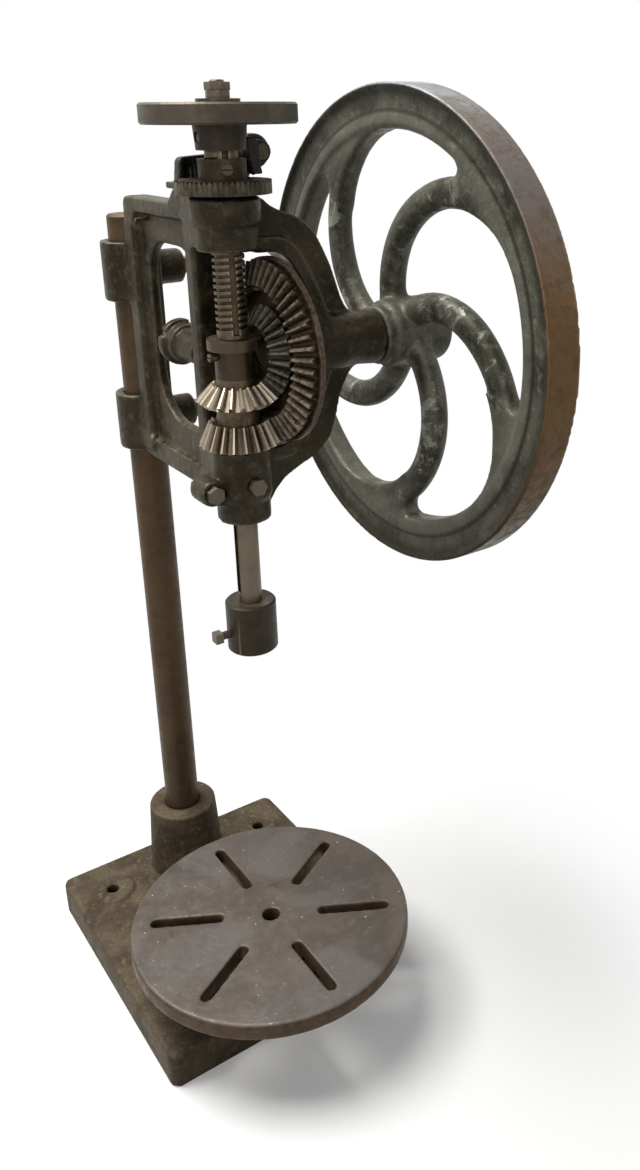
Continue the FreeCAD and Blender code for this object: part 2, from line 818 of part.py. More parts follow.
def pawl_bracket():
    """The black plate behind the ratchet that carries the pawl."""
    low = frame_shoulder_z
    top = ratchet_top_z
    inside = pawl_boss_r - bracket_inset
    shelf_z = pawl_pivot_z + inside - bracket_step
    front = pawl_plate_front
    back = pawl_plate_back
    left = -bracket_reach
    body = plate([(left, low, 0), (pawl_pivot_x - inside, low, 0), (pawl_pivot_x, pawl_pivot_z - inside, 0),
                  (pawl_pivot_x, pawl_pivot_z + inside, 0),
                  (pawl_pivot_x - bracket_shelf, shelf_z, bracket_round),
                  (pawl_pivot_x - 2 * bracket_shelf, top + bracket_step, bracket_round),
                  (left + bracket_step, top, bracket_round)], front, back, "y")
    boss = rod(pawl_boss_r, front, back + pawl_boss_proud, "y", pawl_pivot_x, pawl_pivot_z)
    wall = bracket_wall
    pocket = plate([(left + wall, low + wall, bracket_step), (-wall, low + wall, bracket_step),
                    (-wall, top - wall, bracket_step), (left + wall, top - wall, bracket_step)],
                   front - overlap, (front + back) / 2, "y")
    foot = block(left, bracket_reach, back - overlap, bracket_screw_y + bracket_foot_half,
                 low, low + bracket_foot_height)
    cutters = [pocket, rod(pawl_pin_r, front - overlap, back + pawl_boss_proud + overlap, "y",
                           pawl_pivot_x, pawl_pivot_z)]
    for hole_x in bracket_hole_xs():
        cutters.append(rod(bracket_screw_r, low - overlap, low + bracket_foot_height + overlap, "z",
                           hole_x, bracket_screw_y))
    return joined([body, boss, foot]).cut(Part.makeCompound(cutters))


def bracket_screws():
    """The two round-headed screws that hold the pawl bracket."""
    screws = []
    seat = frame_shoulder_z + bracket_foot_height
    top = seat + bracket_head_height
    head_r = bracket_screw_r * 1.7
    for hole_x in bracket_hole_xs():
        slot = block(hole_x - head_r - overlap, hole_x + head_r + overlap, bracket_screw_y - slot_width / 2,
                     bracket_screw_y + slot_width / 2, top - slot_depth, top + overlap)
        head = rod(head_r, seat, top, "z", hole_x, bracket_screw_y).cut(slot)
        shank = rod(bracket_screw_r, seat - bracket_screw_length, seat + overlap, "z", hole_x,
                    bracket_screw_y)
        screws.append(joined([head, shank]))
    return Part.makeCompound(screws)


def pawl_pin():
    """The pin on which the pawl turns."""
    head_r = pawl_pin_r * 1.5
    seat = pawl_hub_front - seat_gap
    far = pawl_plate_back + pawl_boss_proud
    return turned([(0, seat - pawl_pin_head), (head_r, seat - pawl_pin_head), (head_r, seat),
                   (pawl_pin_r, seat),
                   (pawl_pin_r, far), (0, far)], "y", pawl_pivot_x, pawl_pivot_z)


def feed_pawl():
    """The pawl, a bent strap beside its hub, resting just clear of the ratchet's teeth."""
    tip_z = ratchet_ring_z + pawl_lift
    arm_z = tip_z + pawl_tooth
    tip_turn = 360 * pawl_notch / ratchet_teeth
    tip_x = ratchet_r * math.cos(math.radians(tip_turn))
    back = pawl_plate_front - seat_gap
    half = pawl_strap_width / 2
    top_x = tip_x - pawl_strap_lean
    strap = plate([(tip_x - half, arm_z, 0), (tip_x + half, arm_z, 0), (tip_x + half / 2, pawl_strap_bend, 8),
                   (top_x + half, pawl_strap_top, 3), (top_x - half, pawl_strap_top, 3),
                   (tip_x - half * 1.5, pawl_strap_bend, 8)], pawl_strap_front, pawl_strap_back, "y")
    neck = block(tip_x - half * 1.5, tip_x + half / 2, pawl_strap_front, back,
                 pawl_pivot_z - pawl_neck_half, pawl_pivot_z + pawl_neck_half)
    web = block(tip_x - half, pawl_pivot_x, pawl_hub_front, back,
                pawl_pivot_z - pawl_neck_half, pawl_pivot_z + pawl_neck_half)
    hub = rod(pawl_hub_r, pawl_hub_front, back, "y", pawl_pivot_x, pawl_pivot_z)
    tooth = plate([(-pawl_tooth_half, arm_z + overlap, 0), (pawl_tooth_half, arm_z + overlap, 0),
                   (0, tip_z, 0)],
                  ratchet_r - notch_depth * 2, ratchet_r - 1, "y")
    tooth = turn_z(tooth, tip_turn - 90)
    fall = (pawl_pivot_z - tip_z) / (pawl_pivot_x - tip_x)
    tooth.translate(X * (-fall * pawl_drop / 2))
    body = joined([strap, neck, web, hub, tooth])
    return body.cut(rod(pawl_pin_r + running_gap, pawl_hub_front - overlap, pawl_plate_front, "y",
                        pawl_pivot_x, pawl_pivot_z))


# Crankshaft, bevel gears and flywheel

def key_cutter(width, shaft_r, start, end):
    """The square key on top of the crankshaft, also used to cut its keyways."""
    return block(start, end, -width / 2, width / 2, crank_z + shaft_r - width / 2,
                 crank_z + shaft_r + width / 2)


def gear_key_piece():
    """The key under both bevel gears."""
    return key_cutter(gear_key, crankshaft_r, crankshaft_start + overlap, gear_hub_end_x)


def wheel_key_piece():
    """The key in the flywheel's hub."""
    return key_cutter(wheel_key, crankshaft_r, wheel_hub_start_x + overlap, wheel_hub_end_x - overlap)


def crankshaft():
    """The shaft that carries both bevel gears and the flywheel."""
    end = crankshaft_end_x
    body = turned([(0, crankshaft_start), (crankshaft_r, crankshaft_start), (crankshaft_r, wheel_hub_end_x),
                   (crank_end_r, wheel_hub_end_x), (crank_end_r, end - end_chamfer),
                   (crank_end_r - end_chamfer, end), (0, end)], "x", 0, crank_z)
    return body.cut(Part.makeCompound([gear_key_piece(), wheel_key_piece()]))


def gear_on_shaft(shape):
    """Turns a gear made about +Z to the crank axis and cuts its bore and keyway."""
    shape = place(shape, "x", 0, crank_z)
    bore = rod(crankshaft_r, 0, crank_boss_start, "x", 0, crank_z)
    return shape.cut(Part.makeCompound([bore, gear_key_piece()]))


def inner_bevel_gear():
    """The small bevel gear that drives the upper pinion."""
    size = inner_gear_size
    tip_r, tip_z = size.tip
    root_r, root_z = size.root
    small = size.small
    face_z = flange_r + 1.5
    back = inner_gear_back_x
    profile = [(tip_r * small, tip_z * small), (root_r * small, root_z * small), (root_r * small - 2, face_z),
               (crankshaft_r - hole_inset, face_z), (crankshaft_r - hole_inset, back),
               (root_r, back), (root_r, root_z),
               (tip_r, tip_z)]
    return gear_on_shaft(size.toothed(profile, 0.5))


def outer_bevel_gear():
    """The large bevel gear with its back plate and hub."""
    size = outer_gear_size
    tip_r, tip_z = size.tip
    root_r, root_z = size.root
    small = size.small
    back = root_z + overlap
    ring_r = root_r * small - 3
    profile = [(tip_r * small, tip_z * small), (root_r * small, root_z * small), (ring_r, root_z * small + 2),
               (ring_r, back), (root_r, back), (root_r, root_z), (tip_r, tip_z)]
    teeth = size.toothed(profile, 0.5)
    wheel = turned([(0, inner_gear_back_x), (gear_hub_r, inner_gear_back_x), (gear_hub_r, gear_web_front),
                    (ring_r, gear_web_front), (ring_r, back - 0.3), (gear_plate_r, back - 0.3),
                    (gear_plate_r, gear_plate_back), (gear_rim_inner_r, gear_plate_back),
                    (gear_rim_inner_r - 3, gear_web_back), (gear_hub_r, gear_web_back),
                    (gear_hub_r, gear_hub_end_x), (0, gear_hub_end_x)])
    return gear_on_shaft(joined([teeth, wheel]))


def corner_over(base, left, right):
    """The corner above a base along +X, given the two other sides of a triangle."""
    across = (base ** 2 + left ** 2 - right ** 2) / (2 * base)
    return FreeCAD.Vector(across, math.sqrt(left ** 2 - across ** 2), 0)


def foot_centre():
    """Centre of an arm's outer curve, which touches its inner curve and the ledge."""
    reach = ledge_inner_r - (arm_foot_r - arm_width / 2)
    corner = corner_over(arm_curve_centre, reach, arm_foot_r - arm_curve_r)
    return FreeCAD.Vector(corner.x, -corner.y, 0)


def arm_bar():
    """One curved arm drawn flat: an oval bar whose centre line is two arcs in turn."""
    hub_curve = FreeCAD.Vector(arm_curve_centre, 0, 0)
    foot_curve = foot_centre()
    change = math.degrees(math.atan2(hub_curve.y - foot_curve.y, hub_curve.x - foot_curve.x))
    stations = []
    for i in range(arm_sections):
        part = i / arm_sections
        stations.append((hub_curve, arm_curve_r, arm_start_angle + (change - arm_start_angle) * part,
                         arm_depth))
    for i in range(arm_sections + 1):
        part = i / arm_sections
        depth = arm_depth + (arm_foot_depth - arm_depth) * part
        stations.append((foot_curve, arm_foot_r, change + (arm_end_angle - change) * part, depth))
    wires = []
    for centre, radius, turn, depth in stations:
        oval = Part.Ellipse(ORIGIN, arm_width / 2, depth / 2).toShape()
        oval.translate(X * radius)
        oval.rotate(ORIGIN, X, 90)
        oval.rotate(ORIGIN, Z, turn)
        oval.translate(centre)
        wires.append(Part.Wire([oval]))
    return Part.makeLoft(wires, True)


def arm_foot():
    """The web between an arm's end and the rim drawn flat, with a round nose on one side."""
    centre = foot_centre()
    turn = math.degrees(math.atan2(centre.y, centre.x))
    inside_r = arm_foot_r - arm_width / 2 + foot_overlap
    ledge_r = ledge_inner_r + foot_overlap
    outside_r = arm_foot_r + arm_width / 2 - foot_overlap
    nose = corner_over(centre.Length, ledge_r - foot_nose_r, outside_r + foot_nose_r)
    nose = FreeCAD.Rotation(Z, turn).multVec(nose)
    to_bar = (centre - nose).normalize()
    to_rim = FreeCAD.Vector(nose).normalize()
    nose_start = nose + to_bar * foot_nose_r
    nose_end = nose + to_rim * foot_nose_r
    nose_middle = nose + FreeCAD.Vector(to_rim.y, -to_rim.x, 0) * foot_nose_r
    bar_turn = FreeCAD.Rotation(Z, foot_inside_angle)
    touch = centre + FreeCAD.Rotation(Z, turn).multVec(X) * inside_r
    bar_point = centre + bar_turn.multVec(X) * inside_r
    half_turn = FreeCAD.Rotation(Z, (turn + foot_inside_angle) / 2)
    arc_middle = centre + half_turn.multVec(X) * inside_r
    deep = (ledge_r + overlap) / ledge_r
    rim_turn = math.degrees(math.atan2(nose_end.y, nose_end.x))
    rim_middle = FreeCAD.Rotation(Z, (rim_turn + turn) / 2).multVec(X) * (ledge_r * deep)
    edges = [Part.Arc(touch, arc_middle, bar_point).toShape(),
             Part.LineSegment(bar_point, nose_start).toShape(),
             Part.Arc(nose_start, nose_middle, nose_end).toShape(),
             Part.LineSegment(nose_end, nose_end * deep).toShape(),
             Part.Arc(nose_end * deep, rim_middle, touch * deep).toShape(),
             Part.LineSegment(touch * deep, touch).toShape()]
    foot = Part.Face(Part.Wire(edges)).extrude(Z * foot_thickness)
    foot.translate(Z * (-foot_thickness / 2))
    return foot


def flywheel_arm(index):
    """The bar and the foot of one arm in their place."""
    turn = FreeCAD.Rotation(Z, arm_first_angle + 360 * index / arm_count)
    middle_x = wheel_near_x + wheel_width / 2
    solids = []
    for shape in (arm_bar(), arm_foot()):
        there = FreeCAD.Placement(FreeCAD.Vector(middle_x, 0, crank_z), wheel_facing().multiply(turn))
        shape.Placement = there.multiply(shape.Placement)
        solids.append(shape)
    return solids


def wheel_facing():
    """Turns a shape drawn as seen from -X (right is -Y, up is +Z) into its place."""
    return FreeCAD.Rotation(FreeCAD.Matrix(0, 0, -1, 0, -1, 0, 0, 0, 0, 1, 0, 0, 0, 0, 0, 1))


def flywheel():
    """The flywheel: rim with a dished face and a ledge, hub and five curved arms."""
    side = [(ledge_inner_r, ledge_depth + ledge_round), (ledge_inner_r + ledge_round, ledge_depth),
            (ledge_outer_r, ledge_depth), (crease_r, crease_depth), (cove_r, cove_depth), (lip_inner_r, 0),
            (wheel_r - wheel_edge_r, 0), (wheel_r, wheel_edge_r)]
    near = [(r, wheel_near_x + depth) for r, depth in side]
    far = [(r, wheel_near_x + wheel_width - depth) for r, depth in side[::-1]]
    rim = turned(near + far, "x", 0, crank_z)
    start = wheel_hub_start_x
    step = start + wheel_hub_near_length
    end = wheel_hub_end_x
    hub = turned([(0, start), (wheel_hub_near_r, start), (wheel_hub_near_r, step),
                  (wheel_hub_r, step + hub_edge),
                  (wheel_hub_r, end - hub_edge), (wheel_hub_r - hub_edge, end), (0, end)], "x", 0, crank_z)
    solids = [hub, rim]
    for i in range(arm_count):
        solids += flywheel_arm(i)
    body = joined(solids)
    bore = rod(crankshaft_r, start - overlap, end + overlap, "x", 0, crank_z)
    key = key_cutter(wheel_key, crankshaft_r, start - overlap, end + overlap)
    screw = rod(set_screw_r, crank_z - wheel_hub_r - overlap, crank_z, "z", wheel_screw_x, 0)
    return body.cut(Part.makeCompound([bore, key, screw]))


def flywheel_set_screw():
    """The headless screw that locks the flywheel on its shaft."""
    return rod(set_screw_r, crank_z - wheel_hub_r + overlap, crank_z - crankshaft_r, "z", wheel_screw_x, 0)


# Pinions on the spindle

def pinion(size, extra):
    """A pinion hung below the crank axis, with the round parts fused to it."""
    tip_r, tip_z = size.tip
    root_r, root_z = size.root
    small = size.small
    profile = [(tip_r * small, tip_z * small), (root_r * small, root_z * small),
               (spindle_r - hole_inset, root_z * small),
               (spindle_r - hole_inset, root_z), (root_r, root_z), (tip_r, tip_z)]
    teeth = size.toothed(profile, 0.0)
    teeth.Placement = FreeCAD.Placement(FreeCAD.Vector(0, 0, crank_z), FreeCAD.Rotation(X, 180))
    body = joined([teeth] + extra)
    return body.cut(rod(spindle_r + running_gap, bearing_top_z, shoulder_z + overlap))


def upper_pinion():
    """The upper pinion with its long sleeve and flange."""
    low = upper_pinion_bottom_z
    flange_z = flange_top_z - flange_thickness
    sleeve = turned([(0, low), (sleeve_r, low), (sleeve_r, flange_z), (flange_r, flange_z),
                     (flange_r, flange_top_z), (0, flange_top_z)])
    body = pinion(upper_pinion_size, [sleeve])
    return body.cut(rod(pinion_screw_r, -sleeve_r - overlap, 0, "x", 0, pinion_screw_z))


def lower_pinion():
    """The lower pinion with its hub up to the upper pinion."""
    low = crank_z - lower_pinion_size.root[1]
    return pinion(lower_pinion_size, [rod(lower_hub_r, low, upper_pinion_bottom_z - seat_gap)])


def pinion_key_screw():
    """The slotted screw whose tip runs in the spindle's keyway."""
    tip = spindle_r - keyway_depth + loose_gap
    head = rod(pinion_screw_head_r, -pinion_screw_head_x, -sleeve_r - seat_gap, "x", 0, pinion_screw_z)
    slot = block(-pinion_screw_head_x - overlap, -pinion_screw_head_x + slot_depth, -pinion_screw_head_r,
                 pinion_screw_head_r, pinion_screw_z - slot_width / 2, pinion_screw_z + slot_width / 2)
    shank = rod(pinion_screw_r, -sleeve_r - overlap, -tip, "x", 0, pinion_screw_z)
    return joined([head.cut(slot), shank])


# Spindle, chuck and feed screw

def spindle():
    """The spindle with its long keyway and the thin stem up to the nuts."""
    foot = chuck_bottom_z + chuck_bore_depth + overlap
    body = turned([(0, foot), (spindle_r, foot), (spindle_r, shoulder_z), (stem_r, shoulder_z),
                   (stem_r, spindle_top_z - end_chamfer), (stem_r - end_chamfer, spindle_top_z),
                   (0, spindle_top_z)])
    keyway = block(-spindle_r - overlap, -spindle_r + keyway_depth, -keyway_width / 2, keyway_width / 2,
                   chuck_top_z + keyway_start_rise, keyway_top_z)
    return body.cut(keyway)


def chuck():
    """The plain round chuck with its bore and screw hole."""
    top = chuck_top_z
    edge = chuck_edge
    body = turned([(0, chuck_bottom_z), (chuck_r - edge, chuck_bottom_z), (chuck_r, chuck_bottom_z + edge),
                   (chuck_r, top - edge), (chuck_r - edge, top), (0, top)])
    bore_top = chuck_bottom_z + chuck_bore_depth
    cutters = [rod(chuck_bore_r, chuck_bottom_z - overlap, bore_top),
               rod(spindle_r, bore_top + overlap, top + overlap),
               rod(chuck_screw_r + running_gap, -chuck_r - overlap, 0, "x", 0, chuck_screw_z())]
    return body.cut(Part.makeCompound(cutters))


def chuck_screw_z():
    """Height of the chuck's clamp screw."""
    return chuck_bottom_z + chuck_screw_rise


def chuck_screw():
    """The square-headed screw that grips the tool."""
    neck_end = -chuck_screw_reach + chuck_screw_head_length
    return square_screw(-chuck_bore_r - running_gap, neck_end, "x", 0, chuck_screw_z(), chuck_screw_head,
                        chuck_screw_head_length, chuck_screw_r)


def thrust_washer():
    """The washer between the spindle's shoulder and the feed screw."""
    return tube(washer_r, stem_r + running_gap, shoulder_z, screw_bottom_z)


def feed_keyway(start, end, depth):
    """The keyway cutter along the feed screw."""
    cutter = block(screw_r - depth, screw_r + overlap, -feed_keyway_width / 2, feed_keyway_width / 2, start,
                   end)
    return turn_z(cutter, feed_keyway_turn)


def thread_groove(low, high):
    """The helical groove between the ridges of the feed screw's square thread."""
    first = low + thread_pitch / 2
    half = (thread_pitch - thread_ridge) / 2
    helix = Part.makeHelix(thread_pitch, high - first, thread_root_r)
    helix.translate(Z * first)
    outside = screw_r + loose_gap
    corners = [FreeCAD.Vector(thread_root_r, 0, first - half), FreeCAD.Vector(outside, 0, first - half),
               FreeCAD.Vector(outside, 0, first + half), FreeCAD.Vector(thread_root_r, 0, first + half)]
    groove = Part.Wire(helix.Edges).makePipeShell([Part.makePolygon(corners + corners[:1])], True, True)
    if groove.Volume < 0:
        groove.reverse()
    return groove


def feed_screw():
    """The hollow feed screw with its square thread, keyway and top spigot."""
    low = screw_bottom_z
    top = handwheel_hub_z
    body = turned([(0, low), (screw_r, low), (screw_r, top), (spigot_r, top),
                   (spigot_r, handwheel_top_z - overlap), (0, handwheel_top_z - overlap)])
    body = body.cut(thread_groove(low, top - neck_height))
    body = body.cut(feed_keyway(low - overlap, top, feed_keyway_depth))
    return body.cut(rod(screw_bore_r, low - overlap, handwheel_top_z))


def ratchet_wheel():
    """The ratchet ring with its notches and hub."""
    low = ratchet_bottom_z
    body = turned([(0, low), (ratchet_r, low), (ratchet_r, ratchet_ring_z), (ratchet_hub_r, ratchet_ring_z),
                   (ratchet_hub_r, ratchet_top_z), (0, ratchet_top_z)])
    cutters = [rod(screw_r + thread_gap, low - overlap, ratchet_top_z + overlap)]
    half = math.pi * ratchet_r / ratchet_teeth * 0.8
    inner = ratchet_r - notch_depth * 2
    for i in range(ratchet_teeth):
        corners = [(-half, ratchet_ring_z + 0.1, 0), (half, ratchet_ring_z + 0.1, 0),
                   (0, ratchet_ring_z - notch_depth, 0)]
        notch = plate(corners, inner, ratchet_r + overlap, "y")
        cutters.append(turn_z(notch, 360 * i / ratchet_teeth))
    screw_hole = rod(set_screw_r, 0, ratchet_hub_r + overlap, "x", 0, ratchet_screw_z())
    cutters.append(turn_z(screw_hole, feed_keyway_turn))
    return body.cut(Part.makeCompound(cutters))


def ratchet_screw_z():
    """Height of the ratchet's key screw."""
    return (ratchet_ring_z + ratchet_top_z) / 2


def ratchet_key_screw():
    """The slotted screw whose tip runs in the feed screw's keyway."""
    tip = screw_r - feed_keyway_depth + loose_gap
    z = ratchet_screw_z()
    body = joined([rod(feed_key_r, tip, ratchet_hub_r, "x", 0, z),
                   rod(set_screw_r, screw_r + thread_gap + loose_gap, ratchet_hub_r + loose_gap, "x", 0, z)])
    end = ratchet_hub_r + loose_gap
    slot = block(end - slot_depth, end + overlap, -set_screw_r, set_screw_r,
                 z - slot_width / 2, z + slot_width / 2)
    return turn_z(body.cut(slot), feed_keyway_turn)


def handwheel():
    """The plain handwheel with its tapered hub."""
    low = handwheel_bottom_z
    top = handwheel_top_z
    edge = handwheel_edge_r
    body = turned([(0, handwheel_hub_z), (handwheel_hub_bottom_r, handwheel_hub_z),
                   (handwheel_hub_top_r, low),
                   (handwheel_r - edge, low), (handwheel_r, low + edge), (handwheel_r, top - edge),
                   (handwheel_r - edge, top), (0, top)])
    cutters = [rod(spigot_r, handwheel_hub_z - overlap, top + overlap),
               rod(set_screw_r, -handwheel_hub_top_r - overlap, 0, "x", 0, handwheel_screw_z())]
    return body.cut(Part.makeCompound(cutters))


def handwheel_screw_z():
    """Height of the handwheel's set screw."""
    return (handwheel_hub_z + handwheel_bottom_z) / 2


def handwheel_set_screw():
    """The headless screw that locks the handwheel on the feed screw."""
    return rod(set_screw_r, -handwheel_hub_bottom_r + loose_gap, -spigot_r, "x", 0, handwheel_screw_z())


def top_washer():
    """The washer under the spindle nuts."""
    return tube(top_washer_r, stem_r, top_washer_z, first_nut_z)


def top_nuts():
    """The two nuts that hold the spindle up, locked against each other."""
    nuts = []
    for start, turn in ((first_nut_z, 12), (second_nut_z, 30)):
        nut = prism(6, nut_across, start, start + nut_height, turn=turn)
        nuts.append(nut.cut(rod(stem_r, start - overlap, start + nut_height + overlap)))
    return Part.makeCompound(nuts)


PIECES = {
    "base_plate": base_plate,
    "socket_set_screw": socket_set_screw,
    "column": column,
    "table": table,
    "table_lock_screw": table_lock_screw,
    "head_frame": head_frame,
    "head_clamp_screws": head_clamp_screws,
    "bearing_pinch_bolt": pinch_bolt,
    "bearing_pinch_nut": pinch_nut,
    "bearing_set_screw": bearing_screw,
    "frame_pin": frame_pin,
    "feed_lever_stub": feed_lever_stub,
    "pawl_bracket": pawl_bracket,
    "pawl_bracket_screws": bracket_screws,
    "pawl_pin": pawl_pin,
    "feed_pawl": feed_pawl,
    "crankshaft": crankshaft,
    "inner_bevel_gear": inner_bevel_gear,
    "outer_bevel_gear": outer_bevel_gear,
    "gear_key": gear_key_piece,
    "flywheel": flywheel,
    "flywheel_key": wheel_key_piece,
    "flywheel_set_screw": flywheel_set_screw,
    "upper_pinion": upper_pinion,
    "pinion_key_screw": pinion_key_screw,
    "lower_pinion": lower_pinion,
    "spindle": spindle,
    "chuck": chuck,
    "chuck_screw": chuck_screw,
    "thrust_washer": thrust_washer,
    "feed_screw": feed_screw,
    "ratchet_wheel": ratchet_wheel,
    "ratchet_key_screw": ratchet_key_screw,
    "handwheel": handwheel,
    "handwheel_set_screw": handwheel_set_screw,
    "top_washer": top_washer,
    "top_nuts": top_nuts,
}

for name, make in PIECES.items():
    save(name, make())
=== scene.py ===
import json
import logging
import math
from dataclasses import dataclass, field
from enum import Enum

import bmesh
import bpy
from mathutils import Matrix, Vector


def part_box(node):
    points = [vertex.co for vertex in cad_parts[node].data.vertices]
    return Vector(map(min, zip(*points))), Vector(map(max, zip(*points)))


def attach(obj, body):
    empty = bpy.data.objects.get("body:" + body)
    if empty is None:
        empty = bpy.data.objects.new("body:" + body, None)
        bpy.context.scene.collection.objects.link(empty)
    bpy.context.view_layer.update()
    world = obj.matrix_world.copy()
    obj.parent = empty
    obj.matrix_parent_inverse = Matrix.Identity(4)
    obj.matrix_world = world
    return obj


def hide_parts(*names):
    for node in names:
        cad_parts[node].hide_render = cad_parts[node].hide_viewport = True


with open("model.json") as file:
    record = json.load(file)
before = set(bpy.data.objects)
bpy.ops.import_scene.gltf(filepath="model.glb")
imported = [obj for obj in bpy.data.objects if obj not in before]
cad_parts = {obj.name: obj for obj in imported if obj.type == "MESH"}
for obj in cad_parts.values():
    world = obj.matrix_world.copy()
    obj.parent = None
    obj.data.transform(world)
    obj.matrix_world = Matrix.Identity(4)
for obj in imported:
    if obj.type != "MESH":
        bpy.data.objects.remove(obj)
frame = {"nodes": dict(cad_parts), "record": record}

Colour = tuple[float, float, float]
Point = tuple[float, float, float]
Socket = bpy.types.NodeSocket
Band = tuple[float, float]

log = logging.getLogger("post_drill")
MM = 0.001
MERGE_MM = 0.004
SLIVER_MM = 0.002
FLAT_ANGLE = 1.0
SMOOTH_FACTOR = 0.5
BEVEL_SEGMENTS = 2
CREASE_SAMPLES = 4
HANDWHEEL_RIM = 0.0155
LEVEL_BLUR = 0.0005
NORMAL_WEIGHT = 100


class Axis(Enum):
    """The axes of an object's own coordinates."""

    X = "X"
    Y = "Y"
    Z = "Z"


class Sum(Enum):
    """The sums of a Math node that the finishes use."""

    ADD = "ADD"
    SUBTRACT = "SUBTRACT"
    MULTIPLY = "MULTIPLY"
    ABSOLUTE = "ABSOLUTE"
    SQRT = "SQRT"


class Graph:
    """The node tree of one finish, with a short call for each kind of node."""

    def __init__(self, name: str) -> None:
        """Starts a material that holds a Principled shader.

        Args:
            name: Name of the material.
        """
        self.material = bpy.data.materials.new(name)
        self.material.use_nodes = True
        self.nodes = self.material.node_tree.nodes
        self.links = self.material.node_tree.links
        self.nodes.clear()
        output = self.nodes.new("ShaderNodeOutputMaterial")
        self.shader = self.nodes.new("ShaderNodeBsdfPrincipled")
        self.links.new(self.shader.outputs[0], output.inputs["Surface"])
        self.place = self.nodes.new("ShaderNodeTexCoord").outputs["Object"]
        self.geometry = self.nodes.new("ShaderNodeNewGeometry")

    def feed(self, socket: Socket, value: "Socket | float | Colour") -> None:
        """Links a socket to another, or sets its value."""
        if isinstance(value, bpy.types.NodeSocket):
            self.links.new(value, socket)
        elif isinstance(value, tuple) and len(value) == 3 and socket.type == "RGBA":
            socket.default_value = (*value, 1.0)
        else:
            socket.default_value = value

    def stretched(self, stretch: Point, centre: Point = (0.0, 0.0, 0.0)) -> Socket:
        """Object coordinates scaled along each axis.

        Args:
            stretch: Scale along X, Y and Z.
            centre: Point that becomes the pattern's origin, in metres.

        Returns:
            The vector socket.
        """
        node = self.nodes.new("ShaderNodeMapping")
        node.vector_type = "POINT"
        self.feed(node.inputs["Vector"], self.place)
        node.inputs["Scale"].default_value = stretch
        node.inputs["Location"].default_value = [-c * s for c, s in zip(centre, stretch)]
        return node.outputs["Vector"]

    def noise(self, size_mm: float, detail: float = 3.0, rough: float = 0.55, twist: float = 0.0,
              place: "Socket | None" = None) -> Socket:
        """Cloudy noise.

        Args:
            size_mm: Rough size of its patches.
            detail: Levels of finer noise.
            rough: Share of each finer level.
            twist: Distortion.
            place: Coordinates, or None for the object's.

        Returns:
            A value from 0 to 1.
        """
        node = self.nodes.new("ShaderNodeTexNoise")
        self.feed(node.inputs["Vector"], place or self.place)
        node.inputs["Scale"].default_value = 1.0 / (size_mm * MM)
        node.inputs["Detail"].default_value = detail
        node.inputs["Roughness"].default_value = rough
        node.inputs["Distortion"].default_value = twist
        return node.outputs["Fac"]

    def cells(self, size_mm: float) -> Socket:
        """Distance to the nearest of many scattered points, 0 at each point."""
        node = self.nodes.new("ShaderNodeTexVoronoi")
        self.feed(node.inputs["Vector"], self.place)
        node.inputs["Scale"].default_value = 1.0 / (size_mm * MM)
        node.inputs["Randomness"].default_value = 1.0
        return node.outputs["Distance"]

    def band(self, value: Socket, low: float, high: float) -> Socket:
        """0 below low, 1 above high and a ramp between; low above high turns it round."""
        node = self.nodes.new("ShaderNodeMapRange")
        node.interpolation_type = "SMOOTHSTEP"
        turned = low > high
        self.feed(node.inputs["Value"], value)
        node.inputs["From Min"].default_value = min(low, high)
        node.inputs["From Max"].default_value = max(low, high)
        node.inputs["To Min"].default_value = 1.0 if turned else 0.0
        node.inputs["To Max"].default_value = 0.0 if turned else 1.0
        return node.outputs["Result"]

    def sum(self, kind: Sum, first: "Socket | float", second: "Socket | float" = 0.0) -> Socket:
        """One sum of a Math node."""
        node = self.nodes.new("ShaderNodeMath")
        node.operation = kind.value
        self.feed(node.inputs[0], first)
        self.feed(node.inputs[1], second)
        return node.outputs[0]

    def times(self, first: "Socket | float", second: "Socket | float") -> Socket:
        """The product of two values."""
        return self.sum(Sum.MULTIPLY, first, second)

    def between(self, share: Socket, low: float, high: float) -> Socket:
        """A value from low, where share is 0, to high, where it is 1."""
        return self.sum(Sum.ADD, self.times(share, high - low), low)

    def blend(self, share: "Socket | float", first: "Socket | Colour",
              second: "Socket | Colour") -> Socket:
        """The first colour where share is 0 and the second where it is 1."""
        node = self.nodes.new("ShaderNodeMix")
        node.data_type = "RGBA"
        self.feed(node.inputs[0], share)
        self.feed(node.inputs[6], first)
        self.feed(node.inputs[7], second)
        return node.outputs[2]

    def axis(self, axis: Axis) -> Socket:
        """One of the object's own coordinates, in metres."""
        node = self.nodes.new("ShaderNodeSeparateXYZ")
        self.feed(node.inputs[0], self.place)
        return node.outputs[axis.value]

    def radius(self, level: float) -> Socket:
        """Distance in metres from an axis along X at a level."""
        across = self.axis(Axis.Y)
        above = self.sum(Sum.SUBTRACT, self.axis(Axis.Z), level)
        square = self.sum(Sum.ADD, self.times(across, across), self.times(above, above))
        return self.sum(Sum.SQRT, square)

    def crease(self, reach_mm: float) -> Socket:
        """How open the surface is: 1 in the open and towards 0 in corners."""
        node = self.nodes.new("ShaderNodeAmbientOcclusion")
        node.samples = CREASE_SAMPLES
        node.inputs["Distance"].default_value = reach_mm * MM
        return node.outputs["AO"]

    def bumps(self, layers: list[tuple[Socket, float]]) -> None:
        """Stacks bump layers on the shader.

        Args:
            layers: Height sockets with their depths in millimetres.
        """
        normal = None
        for height, depth_mm in layers:
            node = self.nodes.new("ShaderNodeBump")
            node.inputs["Strength"].default_value = 1.0
            node.inputs["Distance"].default_value = depth_mm * MM
            self.feed(node.inputs["Height"], height)
            if normal is not None:
                self.feed(node.inputs["Normal"], normal)
            normal = node.outputs["Normal"]
        self.feed(self.shader.inputs["Normal"], normal)


